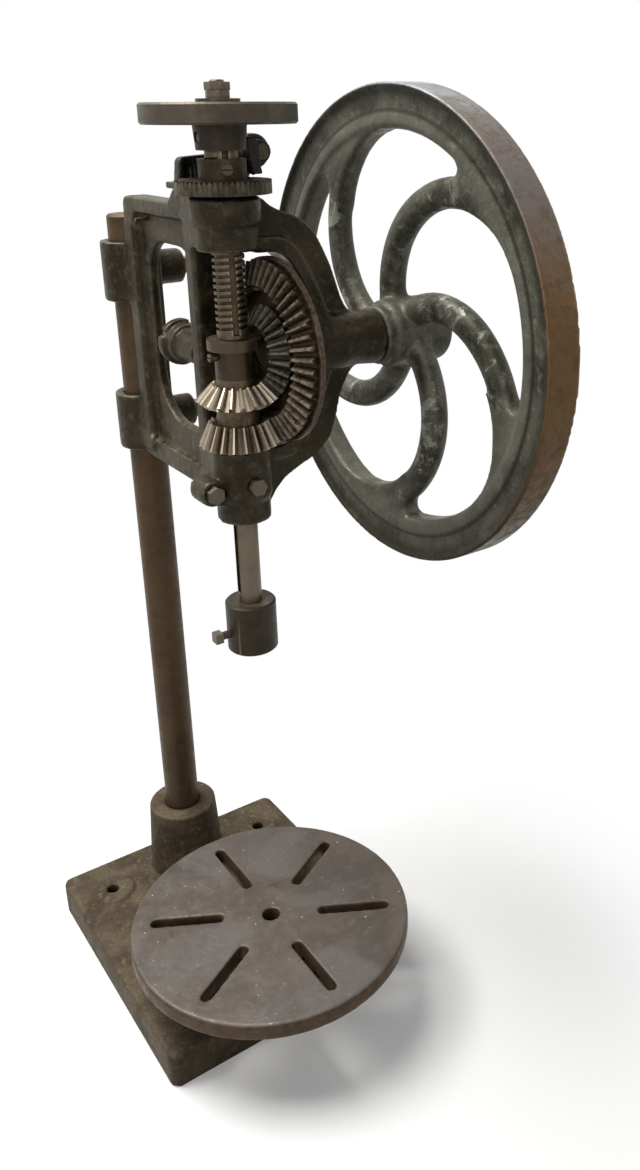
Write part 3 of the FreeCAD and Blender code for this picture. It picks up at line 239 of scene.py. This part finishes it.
@dataclass(frozen=True)
class CastFinish:
    """Bare cast iron: sand grain, greasy dark patches, rust, rubbed edges and painted shade in creases."""

    name: str
    slot: str
    body: Colour
    shade: Colour
    bloom: Colour
    rust: Colour
    rubbed: Colour
    rust_share: float = 0.35
    rub: float = 0.5
    speck: float = 0.0
    metallic: float = 0.25
    specular: float = 0.16
    gleam: Colour = (0.95, 0.86, 0.68)
    smooth: float = 0.36
    rough: float = 0.62
    grain_mm: float = 1.6
    grain_depth_mm: float = 0.22
    patch_mm: float = 45.0
    # Reach of the painted shade that darkens creases.
    crease_shade_mm: float = 14.0
    speck_mm: float = 9.0
    speck_colour: Colour = (0.55, 0.53, 0.48)
    wave_mm: float = 18.0
    wave_depth_mm: float = 0.9
    dent_mm: float = 5.0
    dent_depth_mm: float = 0.45

    def tinted(self, g: Graph, colour: Socket) -> Socket:
        """The colour with what only this casting shows."""
        return colour

    def layers(self, g: Graph, wide: Socket, small: Socket, grain: Socket) -> Socket:
        """The bare iron's colour, layer by layer.

        Args:
            g: The material's graph.
            wide: Noise of the large patches.
            small: Noise of the small patches.
            grain: Noise of the sand grain.

        Returns:
            The colour socket.
        """
        colour = g.blend(g.band(wide, 0.38, 0.62), self.shade, self.body)
        colour = g.blend(g.times(g.band(small, 0.5, 0.72), 0.6), colour, self.bloom)
        blots = g.noise(self.patch_mm / 2.2, 6.0, 0.7, 0.8)
        colour = g.blend(g.times(g.band(blots, 0.52, 0.7), self.rust_share), colour, self.rust)
        colour = g.blend(g.times(g.band(grain, 0.62, 0.36), 0.45), colour, self.shade)
        edge = g.band(g.geometry.outputs["Pointiness"], 0.515, 0.58)
        edge = g.times(edge, g.times(g.band(small, 0.3, 0.6), self.rub))
        colour = g.blend(edge, colour, self.rubbed)
        # Painted shade: the colour darkens in creases and corners, where ambient occlusion finds them.
        crease_shade = g.times(g.band(g.crease(self.crease_shade_mm), 0.75, 0.2), 0.75)
        colour = g.blend(crease_shade, colour, tuple(c * 0.3 for c in self.shade))
        if self.speck > 0:
            fleck = g.band(g.cells(self.speck_mm), 0.075 * self.speck, 0.045 * self.speck)
            fleck = g.times(fleck, g.band(small, 0.45, 0.55))
            colour = g.blend(fleck, colour, self.speck_colour)
        return colour

    def make(self) -> bpy.types.Material:
        """Builds the material."""
        g = Graph(self.name)
        wide = g.noise(self.patch_mm, 5.0, 0.6, 0.4)
        small = g.noise(self.patch_mm / 6, 4.0, 0.62, 0.2)
        grain = g.noise(self.grain_mm, 3.0, 0.6)
        colour = self.layers(g, wide, small, grain)
        g.feed(g.shader.inputs["Base Color"], self.tinted(g, colour))
        g.shader.inputs["Metallic"].default_value = self.metallic
        g.shader.inputs["Specular IOR Level"].default_value = self.specular
        g.shader.inputs["Specular Tint"].default_value = (*self.gleam, 1.0)
        g.feed(g.shader.inputs["Roughness"], g.between(g.band(small, 0.3, 0.7), self.smooth, self.rough))
        g.bumps([(g.noise(self.wave_mm, 2.0), self.wave_depth_mm),
                 (g.noise(self.dent_mm, 3.0), self.dent_depth_mm), (grain, self.grain_depth_mm)])
        return g.material


@dataclass(frozen=True)
class TableFinish(CastFinish):
    """The table's iron: a rubbed top, and brown rust on its rim and in its slots."""

    top_z: float = 0.102
    skin: float = 0.0018
    side: Colour = (0.060, 0.040, 0.024)
    cloud: Colour = (0.135, 0.125, 0.120)
    fleck: Colour = (0.60, 0.58, 0.54)

    def tinted(self, g: Graph, colour: Socket) -> Socket:
        """Adds the grey middle, the rusty sides and fine flecks."""
        grey = g.band(g.noise(70.0, 3.0, 0.5, 0.5), 0.42, 0.62)
        colour = g.blend(g.times(grey, 0.6), colour, self.cloud)
        stain = g.band(g.noise(16.0, 5.0, 0.7, 0.8), 0.60, 0.72)
        colour = g.blend(g.times(stain, 0.55), colour, self.side)
        small = g.band(g.cells(5.5), 0.075, 0.045)
        chosen = g.band(g.noise(7.0, 2.0), 0.54, 0.60)
        colour = g.blend(g.times(small, chosen), colour, self.fleck)
        below = g.band(g.axis(Axis.Z), self.top_z - self.skin / 3, self.top_z - self.skin)
        rusty = g.blend(g.band(g.noise(9.0, 4.0, 0.65), 0.35, 0.65), self.side, self.rust)
        return g.blend(g.times(below, 0.88), colour, rusty)


@dataclass(frozen=True)
class WheelFinish(CastFinish):
    """The flywheel's iron: a bronzed rim with painted light by height, painted shade along the crease, grease
    and painted shade by the lip, and arms worn pale.
    """

    axis_z: float = 0.650
    rim_r: float = 0.2022
    crease_r: float = 0.1815
    crease_half: float = 0.0028
    crease_core: float = 0.0004
    # Colour of the painted shade along the crease.
    crease_line_shade: Colour = (0.016, 0.014, 0.010)
    ledge_bloom: Colour = (0.21, 0.205, 0.165)
    # Colour of grease and painted shade in the cove by the lip.
    lip_grease_and_shade: Colour = (0.022, 0.020, 0.013)
    worn: Colour = (0.32, 0.33, 0.28)
    # Rim colours by height: a painted sky reflection on top, grey and bronze between, painted shade at the
    # bottom.
    rim_painted_sky: Colour = (0.28, 0.31, 0.33)
    rim_grey: Colour = (0.15, 0.128, 0.118)
    rim_bronze: Colour = (0.160, 0.088, 0.035)
    rim_painted_shade: Colour = (0.022, 0.012, 0.005)
    rim_spot: Colour = (0.075, 0.040, 0.018)
    cove_r: float = 0.188
    cove_fade: float = 0.009
    hub_end: Band = (0.035, 0.06)
    arm_end: Band = (0.165, 0.13)
    near_face: Band = (0.166, 0.156)
    ledge_start: Band = (0.150, 0.168)
    ledge_fade: float = 0.006
    bronze_from: Band = (0.53, 0.68)
    grey_from: Band = (0.74, 0.84)
    painted_sky_from: Band = (0.87, 0.92)
    streak_height: float = 0.10
    rim_fade: float = 0.0012

    def tinted(self, g: Graph, colour: Socket) -> Socket:
        """Adds the worn arms, painted shade along the crease, grease and painted shade by the lip, and the
        rim's colours with painted light by height.
        """
        from_axis = g.radius(self.axis_z)
        patch = g.band(g.noise(24.0, 6.0, 0.72, 0.6), 0.53, 0.60)
        arms = g.times(g.band(from_axis, *self.hub_end), g.band(from_axis, *self.arm_end))
        near = g.band(g.axis(Axis.X), *self.near_face)
        rubbed = g.times(patch, g.times(g.times(arms, near), 0.75))
        colour = g.blend(rubbed, colour, self.worn)
        # Painted shade: a dark line along the crease between the cove and the ledge.
        off = g.sum(Sum.ABSOLUTE, g.sum(Sum.SUBTRACT, from_axis, self.crease_r))
        line = g.times(g.band(off, self.crease_half, self.crease_core), 0.8)
        colour = g.blend(line, colour, self.crease_line_shade)
        ledge = g.times(g.band(from_axis, self.crease_r, self.crease_r - self.ledge_fade),
                      g.band(from_axis, *self.ledge_start))
        colour = g.blend(g.times(ledge, 0.35), colour, self.ledge_bloom)
        # Grease and painted shade: dark noisy patches in the cove next to the lip.
        lip_grease_and_shade_mask = g.times(g.band(from_axis, self.cove_r, self.cove_r + self.cove_fade),
                     g.band(g.noise(50.0, 4.0, 0.6, 0.4), 0.20, 0.50))
        colour = g.blend(g.times(lip_grease_and_shade_mask, 0.85), colour, self.lip_grease_and_shade)
        # Painted light on the rim's outer face: its colour ramps with height, from painted shade at the
        # bottom through bronze and grey to a painted bluish sky reflection at the top; noise wavers the
        # borders and spots add rust.
        streak = g.noise(22.0, 5.0, 0.65, 0.3)
        level = g.sum(Sum.ADD, g.axis(Axis.Z), g.times(streak, self.streak_height))
        rim = g.blend(g.band(level, *self.bronze_from), self.rim_painted_shade, self.rim_bronze)
        rim = g.blend(g.band(level, *self.grey_from), rim, self.rim_grey)
        rim = g.blend(g.band(level, *self.painted_sky_from), rim, self.rim_painted_sky)
        spots = g.times(g.band(g.noise(9.0, 5.0, 0.7, 0.5), 0.50, 0.66), 0.45)
        rim = g.blend(spots, rim, self.rim_spot)
        return g.blend(g.band(from_axis, self.rim_r - self.rim_fade, self.rim_r), colour, rim)


@dataclass(frozen=True)
class TurnedFinish:
    """Turned or cut steel with tool marks, stains, rust spots and painted shade in creases."""

    name: str
    slot: str
    body: Colour
    stain: Colour
    rust: Colour
    rubbed: Colour
    stretch: Point = (1.0, 1.0, 12.0)
    centre: Point = (0.0, 0.0, 0.0)
    stain_share: float = 0.6
    rust_share: float = 0.3
    rub: float = 0.6
    metallic: float = 0.6
    specular: float = 0.2
    smooth: float = 0.28
    rough: float = 0.5
    dark_below: float = 0.0
    dark_above: float = 9.0
    dark: Colour = (0.03, 0.02, 0.012)
    mark_mm: float = 4.0
    mark_depth_mm: float = 0.03
    pit_depth_mm: float = 0.08
    patch_mm: float = 20.0
    # Reach and strength of the painted shade that darkens creases.
    crease_shade_mm: float = 6.0
    crease_shade: float = 0.7

    def make(self) -> bpy.types.Material:
        """Builds the material."""
        g = Graph(self.name)
        wide = g.noise(self.patch_mm, 5.0, 0.62, 0.5)
        fine = g.noise(self.patch_mm / 7, 4.0, 0.65)
        marks = g.noise(self.mark_mm, 4.0, 0.7, 0.0, g.stretched(self.stretch, self.centre))
        stains = g.times(g.band(wide, 0.42, 0.66), self.stain_share)
        colour = g.blend(stains, self.body, self.stain)
        colour = g.blend(g.times(g.band(marks, 0.45, 0.7), 0.35), colour, self.stain)
        blots = g.noise(self.patch_mm / 3, 6.0, 0.7, 1.0)
        colour = g.blend(g.times(g.band(blots, 0.55, 0.68), self.rust_share), colour, self.rust)
        edge = g.band(g.geometry.outputs["Pointiness"], 0.52, 0.6)
        colour = g.blend(g.times(edge, self.rub), colour, self.rubbed)
        # Painted shade: the colour darkens in creases and corners, where ambient occlusion finds them.
        crease_shade = g.times(g.band(g.crease(self.crease_shade_mm), 0.7, 0.2), self.crease_shade)
        colour = g.blend(crease_shade, colour, tuple(c * 0.25 for c in self.stain))
        if self.dark_below > 0:
            below = g.band(g.axis(Axis.Z), self.dark_below + LEVEL_BLUR, self.dark_below - LEVEL_BLUR)
            colour = g.blend(g.times(below, 0.7), colour, self.dark)
        if self.dark_above < 1:
            above = g.band(g.axis(Axis.Z), self.dark_above - LEVEL_BLUR, self.dark_above + LEVEL_BLUR)
            colour = g.blend(g.times(above, 0.75), colour, self.dark)
        g.feed(g.shader.inputs["Base Color"], colour)
        g.shader.inputs["Metallic"].default_value = self.metallic
        g.shader.inputs["Specular IOR Level"].default_value = self.specular
        g.feed(g.shader.inputs["Roughness"], g.between(g.band(fine, 0.3, 0.7), self.smooth, self.rough))
        g.bumps([(fine, self.pit_depth_mm), (marks, self.mark_depth_mm)])
        return g.material


class Finishes:
    """Every finish of the drill, made once."""

    def __init__(self) -> None:
        """Builds all the materials."""
        plans = [
            CastFinish("frame_iron", "frame_iron", body=(0.056, 0.046, 0.029), shade=(0.018, 0.014, 0.008),
                       bloom=(0.125, 0.112, 0.078), rust=(0.075, 0.042, 0.020), rubbed=(0.26, 0.24, 0.18),
                       rust_share=0.45, specular=0.22, smooth=0.27, rough=0.52, rub=0.7),
            CastFinish("base_iron", "base_iron", body=(0.110, 0.086, 0.057), shade=(0.047, 0.035, 0.022),
                       bloom=(0.210, 0.172, 0.123), rust=(0.105, 0.060, 0.030), rubbed=(0.20, 0.17, 0.12),
                       speck=0.9, grain_mm=2.4, grain_depth_mm=0.4, metallic=0.1, smooth=0.5, rough=0.8),
            TableFinish("table_iron", "table_iron", body=(0.128, 0.106, 0.090), shade=(0.088, 0.074, 0.065),
                       bloom=(0.155, 0.130, 0.112), rust=(0.105, 0.062, 0.038), rubbed=(0.115, 0.066, 0.036),
                       speck=1.3, grain_mm=1.2, grain_depth_mm=0.12, patch_mm=60.0, metallic=0.3,
                       smooth=0.34, rough=0.56, rust_share=0.3, rub=1.0),
            WheelFinish("wheel_iron", "wheel_iron", body=(0.112, 0.110, 0.088), shade=(0.034, 0.034, 0.026),
                        bloom=(0.215, 0.212, 0.170), rust=(0.11, 0.070, 0.038), rubbed=(0.34, 0.33, 0.27),
                        rust_share=0.25, patch_mm=48.0, specular=0.22, smooth=0.30, rough=0.58, crease_shade_mm=20.0),
            TurnedFinish("column_steel", "column_steel", body=(0.081, 0.049, 0.022),
                         stain=(0.030, 0.019, 0.009),
                         rust=(0.123, 0.051, 0.017), rubbed=(0.20, 0.15, 0.10), stretch=(6.0, 6.0, 0.5),
                         metallic=0.3, smooth=0.34, rough=0.58, patch_mm=40.0, rust_share=0.5),
            CastFinish("gear_iron", "gear_iron", body=(0.076, 0.052, 0.036), shade=(0.029, 0.020, 0.013),
                       bloom=(0.122, 0.091, 0.066), rust=(0.094, 0.042, 0.022), rubbed=(0.36, 0.29, 0.22),
                       rust_share=0.6, rub=0.9, patch_mm=24.0, grain_mm=1.0, grain_depth_mm=0.12,
                       crease_shade_mm=9.0),
            CastFinish("small_gear_iron", "small_gear_iron", body=(0.060, 0.054, 0.041),
                       shade=(0.022, 0.019, 0.013), bloom=(0.111, 0.102, 0.078), rust=(0.076, 0.043, 0.023),
                       rubbed=(0.30, 0.28, 0.22), rub=0.9, patch_mm=20.0, grain_mm=1.0,
                       grain_depth_mm=0.12, crease_shade_mm=9.0),
            TurnedFinish("pinion_steel", "pinion_steel", body=(0.140, 0.106, 0.066),
                         stain=(0.042, 0.029, 0.015),
                         rust=(0.077, 0.041, 0.018), rubbed=(0.75, 0.64, 0.50), stretch=(1.0, 1.0, 5.0),
                         patch_mm=14.0, crease_shade_mm=6.0, stain_share=0.8, rub=0.9,
                         dark_above=0.6335, dark=(0.035, 0.025, 0.012)),
            TurnedFinish("spindle_steel", "spindle_steel", body=(0.089, 0.065, 0.032),
                         stain=(0.029, 0.020, 0.009),
                         rust=(0.053, 0.026, 0.010), rubbed=(0.60, 0.54, 0.43), stretch=(1.0, 1.0, 9.0),
                         patch_mm=16.0, crease_shade_mm=4.0, crease_shade=0.9),
            CastFinish("ratchet_iron", "ratchet_iron", body=(0.058, 0.048, 0.032),
                       shade=(0.024, 0.019, 0.012),
                       bloom=(0.105, 0.09, 0.06), rust=(0.085, 0.045, 0.022), rubbed=(0.30, 0.26, 0.19),
                       rub=0.8, patch_mm=25.0, grain_mm=0.9, grain_depth_mm=0.08, crease_shade_mm=6.0),
            TurnedFinish("handwheel_iron", "handwheel_iron", body=(0.100, 0.083, 0.062),
                         stain=(0.048, 0.038, 0.028), rust=(0.085, 0.040, 0.026), rubbed=(0.26, 0.22, 0.17),
                         stretch=(1.0, 1.0, 14.0), metallic=0.4, smooth=0.36, rough=0.58, patch_mm=30.0,
                         dark_below=self.wheel_underside()),
            TurnedFinish("chuck_iron", "chuck_iron", body=(0.044, 0.034, 0.021), stain=(0.020, 0.016, 0.010),
                         rust=(0.064, 0.033, 0.017), rubbed=(0.24, 0.20, 0.15), stretch=(1.0, 1.0, 10.0),
                         metallic=0.4, smooth=0.34, rough=0.55, patch_mm=22.0),
            CastFinish("bracket_paint", "bracket_paint", body=(0.020, 0.022, 0.020),
                       shade=(0.010, 0.010, 0.009),
                       bloom=(0.036, 0.038, 0.034), rust=(0.05, 0.034, 0.022), rubbed=(0.13, 0.12, 0.10),
                       rust_share=0.25, metallic=0.1, smooth=0.3, rough=0.5, patch_mm=18.0,
                       grain_depth_mm=0.12, specular=0.3),
            TurnedFinish("screw_steel", "screw_steel", body=(0.071, 0.057, 0.039),
                         stain=(0.028, 0.022, 0.014),
                         rust=(0.062, 0.031, 0.015), rubbed=(0.236, 0.198, 0.143), stretch=(1.0, 1.0, 1.0),
                         patch_mm=8.0, crease_shade_mm=4.0),
        ]
        self.made = {plan.slot: plan.make() for plan in plans}

    @staticmethod
    def wheel_underside() -> float:
        """Level of the underside of the handwheel's rim."""
        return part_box("handwheel")[1][2] - HANDWHEEL_RIM

    def __getitem__(self, slot: str) -> bpy.types.Material:
        """The material of one of the record's slots."""
        return self.made[slot]


@dataclass
class Shaper:
    """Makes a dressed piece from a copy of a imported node."""

    finishes: Finishes
    slots: dict[str, str] = field(default_factory=dict)

    def __post_init__(self) -> None:
        """Reads the slot of every node from the record."""
        self.slots = {row["node"]: row["material_slot"] for row in frame["record"]["subparts"]}

    def body_of(self, node: str) -> str:
        """Name of the body that a node rides on."""
        groups = frame["record"]["behaviour"]["bodies"]
        return next(body for body, nodes in groups.items() if node in nodes)

    def copy(self, node: str, suffix: str) -> bpy.types.Object:
        """A merged copy of a node's mesh as a new object.

        Args:
            node: Name of the CAD node.
            suffix: What the piece's name adds to the node's.

        Returns:
            The new object, linked to the scene.
        """
        mesh = frame["nodes"][node].data.copy()
        mesh.materials.clear()
        piece = bpy.data.objects.new(f"{node}_{suffix}", mesh)
        bpy.context.scene.collection.objects.link(piece)
        shape = bmesh.new()
        shape.from_mesh(mesh)
        bmesh.ops.remove_doubles(shape, verts=shape.verts, dist=MERGE_MM * MM)
        bmesh.ops.dissolve_degenerate(shape, edges=shape.edges, dist=SLIVER_MM * MM)
        shape.to_mesh(mesh)
        shape.free()
        return piece

    def baked(self, piece: bpy.types.Object) -> None:
        """Applies a piece's modifiers to its mesh."""
        graph = bpy.context.evaluated_depsgraph_get()
        graph.update()
        done = bpy.data.meshes.new_from_object(piece.evaluated_get(graph))
        old = piece.data
        piece.modifiers.clear()
        piece.data = done
        bpy.data.meshes.remove(old)

    def dressed(self, piece: bpy.types.Object, node: str) -> bpy.types.Object:
        """Gives a piece its finish and its body in place of a node."""
        slot = self.slots[node]
        piece.data.materials.clear()
        piece.data.materials.append(self.finishes[slot])
        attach(piece, self.body_of(node))
        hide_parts(node)
        log.info("%s: %d faces", piece.name, len(piece.data.polygons))
        return piece

    def cast(self, node: str, voxel_mm: float, passes: int) -> bpy.types.Object:
        """A casting: the node remeshed and smoothed, so that its corners are round.

        Args:
            node: Name of the CAD node.
            voxel_mm: Size of the remesh.
            passes: How often it is smoothed.

        Returns:
            The dressed piece.
        """
        piece = self.copy(node, "casting")
        remesh = piece.modifiers.new("remesh", "REMESH")
        remesh.mode = "VOXEL"
        remesh.voxel_size = voxel_mm * MM
        self.baked(piece)
        shape = bmesh.new()
        shape.from_mesh(piece.data)
        for _ in range(passes):
            bmesh.ops.smooth_vert(shape, verts=shape.verts, factor=SMOOTH_FACTOR, use_axis_x=True,
                                  use_axis_y=True, use_axis_z=True)
        for face in shape.faces:
            face.smooth = True
        shape.to_mesh(piece.data)
        shape.free()
        return self.dressed(piece, node)

    def machined(self, node: str, edge_mm: float, angle: float = 28.0) -> bpy.types.Object:
        """A machined piece: the node with its sharp edges broken.

        Args:
            node: Name of the CAD node.
            edge_mm: Width of the broken edge.
            angle: Edges turning by more than this many degrees are broken.

        Returns:
            The dressed piece.
        """
        piece = self.copy(node, "turned")
        shape = bmesh.new()
        shape.from_mesh(piece.data)
        bmesh.ops.dissolve_limit(shape, angle_limit=math.radians(FLAT_ANGLE), verts=shape.verts,
                                 edges=shape.edges)
        sharp = [e for e in shape.edges if e.is_manifold and e.calc_face_angle(0.0) > math.radians(angle)]
        bmesh.ops.bevel(shape, geom=sharp, offset=edge_mm * MM, offset_type="OFFSET",
                        segments=BEVEL_SEGMENTS, profile=0.5, affect="EDGES", material=-1,
                        clamp_overlap=True, loop_slide=True)
        for face in shape.faces:
            face.smooth = True
        for edge in shape.edges:
            edge.smooth = not edge.is_manifold or edge.calc_face_angle(0.0) < math.radians(angle)
        shape.to_mesh(piece.data)
        shape.free()
        normals = piece.modifiers.new("normals", "WEIGHTED_NORMAL")
        normals.weight = NORMAL_WEIGHT
        normals.keep_sharp = True
        self.baked(piece)
        return self.dressed(piece, node)


@dataclass
class BaseAndTable:
    """The base, the column and the table."""

    shaper: Shaper

    def build(self) -> None:
        """Makes the pieces that stand still or carry the rest."""
        self.shaper.cast("base_plate", 1.8, 2)
        self.shaper.cast("table", 1.7, 3)
        self.shaper.machined("column", 0.5)
        for node in ("socket_set_screw", "table_lock_screw"):
            self.shaper.machined(node, 0.6)


@dataclass
class Head:
    """The head casting and what is fixed to it."""

    shaper: Shaper

    def build(self) -> None:
        """Makes the head's pieces."""
        self.shaper.cast("head_frame", 1.8, 4)
        self.shaper.cast("feed_lever_stub", 1.2, 3)
        self.shaper.cast("pawl_bracket", 1.1, 3)
        self.shaper.cast("feed_pawl", 0.8, 2)
        for node in ("head_clamp_screws", "bearing_pinch_bolt", "bearing_pinch_nut", "bearing_set_screw"):
            self.shaper.machined(node, 0.7)
        for node in ("frame_pin", "pawl_bracket_screws", "pawl_pin"):
            self.shaper.machined(node, 0.3)


@dataclass
class Drive:
    """The crankshaft with its gears and the flywheel."""

    shaper: Shaper
    crank_z: float = 0.650
    rim_r: float = 0.203
    rim_skin: float = 0.0011
    rim_middle_x: float = 0.162
    rim_half: float = 0.0145
    soft_from: float = 0.031
    soft_to: float = 0.166
    soft_passes: int = 16

    def soften_arms(self, wheel: bpy.types.Object) -> None:
        """Rounds the corners where the arms meet the rim and the hub."""
        shape = bmesh.new()
        shape.from_mesh(wheel.data)
        axis = Vector((0.0, 0.0, self.crank_z))
        arms = [v for v in shape.verts
                if self.soft_from < (Vector((0.0, v.co.y, v.co.z)) - axis).length < self.soft_to]
        for _ in range(self.soft_passes):
            bmesh.ops.smooth_vert(shape, verts=arms, factor=SMOOTH_FACTOR, use_axis_x=True, use_axis_y=True,
                                  use_axis_z=True)
        shape.to_mesh(wheel.data)
        shape.free()

    def true_rim(self, wheel: bpy.types.Object) -> None:
        """Turns the flywheel's outer face true again after the smoothing."""
        axis = Vector((0.0, 0.0, self.crank_z))
        for vertex in wheel.data.vertices:
            arm = Vector((0.0, vertex.co.y, vertex.co.z)) - axis
            across = abs(vertex.co.x - self.rim_middle_x)
            if arm.length > self.rim_r - self.rim_skin and across < self.rim_half:
                arm *= self.rim_r / arm.length
                vertex.co = Vector((vertex.co.x, arm.y, arm.z + self.crank_z))

    def build(self) -> None:
        """Makes the pieces that turn with the crank."""
        wheel = self.shaper.cast("flywheel", 1.9, 5)
        self.soften_arms(wheel)
        self.true_rim(wheel)
        for node in ("inner_bevel_gear", "outer_bevel_gear", "upper_pinion", "lower_pinion"):
            self.shaper.machined(node, 0.3)
        for node in ("crankshaft", "gear_key", "flywheel_key", "flywheel_set_screw", "pinion_key_screw"):
            self.shaper.machined(node, 0.3)


@dataclass
class Feed:
    """The spindle, its feed screw and the handwheel."""

    shaper: Shaper

    def build(self) -> None:
        """Makes the pieces on the spindle's axis."""
        for node in ("spindle", "thrust_washer", "ratchet_wheel", "ratchet_key_screw", "top_washer"):
            self.shaper.machined(node, 0.3)
        for node in ("chuck", "chuck_screw", "handwheel", "handwheel_set_screw", "top_nuts"):
            self.shaper.machined(node, 0.6)
        self.shaper.machined("feed_screw", 0.25)


@dataclass
class Studio:
    """The floor, the light and the camera."""

    place: Vector = field(default_factory=lambda: Vector((-0.36305, -0.73579, 0.83379)))
    right: Vector = field(default_factory=lambda: Vector((0.80529, -0.59286, -0.00498)))
    up: Vector = field(default_factory=lambda: Vector((0.20629, 0.27231, 0.93984)))
    ahead: Vector = field(default_factory=lambda: Vector((0.55584, 0.75787, -0.34159)))
    lens: float = 32.157
    shift_x: float = -0.08224
    shift_y: float = -0.08415
    sky: float = 0.14
    near_floor: float = 0.22
    far_floor: float = 0.50
    floor_reach: float = 90.0
    floor_dark: float = 0.14
    floor_pale: float = 0.90
    floor_glow: float = 0.12
    sensor: float = 36.0
    clip: Band = (0.02, 200.0)

    def camera(self) -> None:
        """Stands the camera where the photograph was taken."""
        data = bpy.data.cameras.new("camera")
        data.sensor_width = self.sensor
        data.lens = self.lens
        data.shift_x = self.shift_x
        data.shift_y = self.shift_y
        data.clip_start, data.clip_end = self.clip
        rig = bpy.data.objects.new("camera", data)
        bpy.context.scene.collection.objects.link(rig)
        turn = Matrix((self.right, self.up, -self.ahead)).transposed().to_4x4()
        rig.matrix_world = Matrix.Translation(self.place) @ turn
        bpy.context.scene.camera = rig

    def lamp(self, name: str, place: Point, aim: Point, power: float, size: float, tint: Colour) -> None:
        """One large soft lamp.

        Args:
            name: Name of the lamp.
            place: Where it hangs.
            aim: The point that it faces.
            power: Its power in watts.
            size: Length of its side in metres.
            tint: Its colour.
        """
        data = bpy.data.lights.new(name, "AREA")
        data.energy = power
        data.size = size
        data.color = tint
        lamp = bpy.data.objects.new(name, data)
        bpy.context.scene.collection.objects.link(lamp)
        lamp.location = place
        lamp.rotation_euler = (Vector(aim) - Vector(place)).to_track_quat("-Z", "Y").to_euler()

    def shown_rays(self, tree: bpy.types.NodeTree) -> Socket:
        """1 for rays that show the background: camera, glossy and transmission rays."""
        path = tree.nodes.new("ShaderNodeLightPath")
        total = path.outputs["Is Camera Ray"]
        for name in ("Is Glossy Ray", "Is Transmission Ray"):
            join = tree.nodes.new("ShaderNodeMath")
            join.operation = "MAXIMUM"
            tree.links.new(total, join.inputs[0])
            tree.links.new(path.outputs[name], join.inputs[1])
            total = join.outputs[0]
        return total

    def world(self) -> None:
        """A plain sky that shows as white."""
        world = bpy.data.worlds.new("studio")
        world.use_nodes = True
        tree = world.node_tree
        shade = tree.nodes["Background"]
        level = tree.nodes.new("ShaderNodeMapRange")
        tree.links.new(self.shown_rays(tree), level.inputs["Value"])
        level.inputs["To Min"].default_value = self.sky
        level.inputs["To Max"].default_value = 1.0
        tree.links.new(level.outputs["Result"], shade.inputs["Strength"])
        shade.inputs["Color"].default_value = (1.0, 1.0, 1.0, 1.0)
        bpy.context.scene.world = world

    def floor(self) -> None:
        """The pale floor, which keeps the shadow."""
        shape = bmesh.new()
        bmesh.ops.create_grid(shape, x_segments=1, y_segments=1, size=self.floor_reach)
        mesh = bpy.data.meshes.new("floor")
        shape.to_mesh(mesh)
        shape.free()
        floor = bpy.data.objects.new("floor", mesh)
        bpy.context.scene.collection.objects.link(floor)
        material = bpy.data.materials.new("floor")
        material.use_nodes = True
        tree = material.node_tree
        tree.nodes.clear()
        output = tree.nodes.new("ShaderNodeOutputMaterial")
        shown = self.shown_rays(tree)
        matt = tree.nodes.new("ShaderNodeBsdfDiffuse")
        tone = tree.nodes.new("ShaderNodeMapRange")
        tone.inputs["To Min"].default_value = self.floor_dark
        tone.inputs["To Max"].default_value = self.floor_pale
        tree.links.new(shown, tone.inputs["Value"])
        tree.links.new(tone.outputs["Result"], matt.inputs["Color"])
        glow = tree.nodes.new("ShaderNodeEmission")
        place = tree.nodes.new("ShaderNodeTexCoord")
        length = tree.nodes.new("ShaderNodeVectorMath")
        length.operation = "LENGTH"
        tree.links.new(place.outputs["Object"], length.inputs[0])
        far = tree.nodes.new("ShaderNodeMapRange")
        far.interpolation_type = "SMOOTHSTEP"
        far.inputs["From Min"].default_value = self.near_floor
        far.inputs["From Max"].default_value = self.far_floor
        far.inputs["To Min"].default_value = self.floor_glow
        tree.links.new(length.outputs["Value"], far.inputs["Value"])
        share = tree.nodes.new("ShaderNodeMath")
        share.operation = "MULTIPLY"
        tree.links.new(shown, share.inputs[0])
        tree.links.new(far.outputs["Result"], share.inputs[1])
        mix = tree.nodes.new("ShaderNodeMixShader")
        tree.links.new(share.outputs[0], mix.inputs[0])
        tree.links.new(matt.outputs[0], mix.inputs[1])
        tree.links.new(glow.outputs[0], mix.inputs[2])
        tree.links.new(mix.outputs[0], output.inputs["Surface"])
        mesh.materials.append(material)

    def build(self) -> None:
        """Sets up everything around the drill."""
        bpy.context.scene.view_settings.view_transform = "Standard"
        self.camera()
        self.world()
        self.floor()
        self.lamp("key", (-0.75, 0.75, 2.8), (0.05, 0.0, 0.4), 120.0, 1.7, (1.0, 0.99, 0.965))
        self.lamp("fill", (-2.0, -1.6, 1.6), (0.05, 0.0, 0.5), 20.0, 1.4, (1.0, 0.985, 0.96))
        self.lamp("side", (2.2, -0.9, 1.4), (0.1, 0.0, 0.6), 6.0, 1.2, (0.97, 0.98, 1.0))


def main() -> None:
    """Builds the drill's looks and the studio."""
    logging.basicConfig(level=logging.INFO, format="%(message)s")
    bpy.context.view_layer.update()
    shaper = Shaper(Finishes())
    for part in (BaseAndTable(shaper), Head(shaper), Drive(shaper), Feed(shaper)):
        part.build()
        log.info("%s done", type(part).__name__)
    Studio().build()


if __name__ == "__main__":
    main()
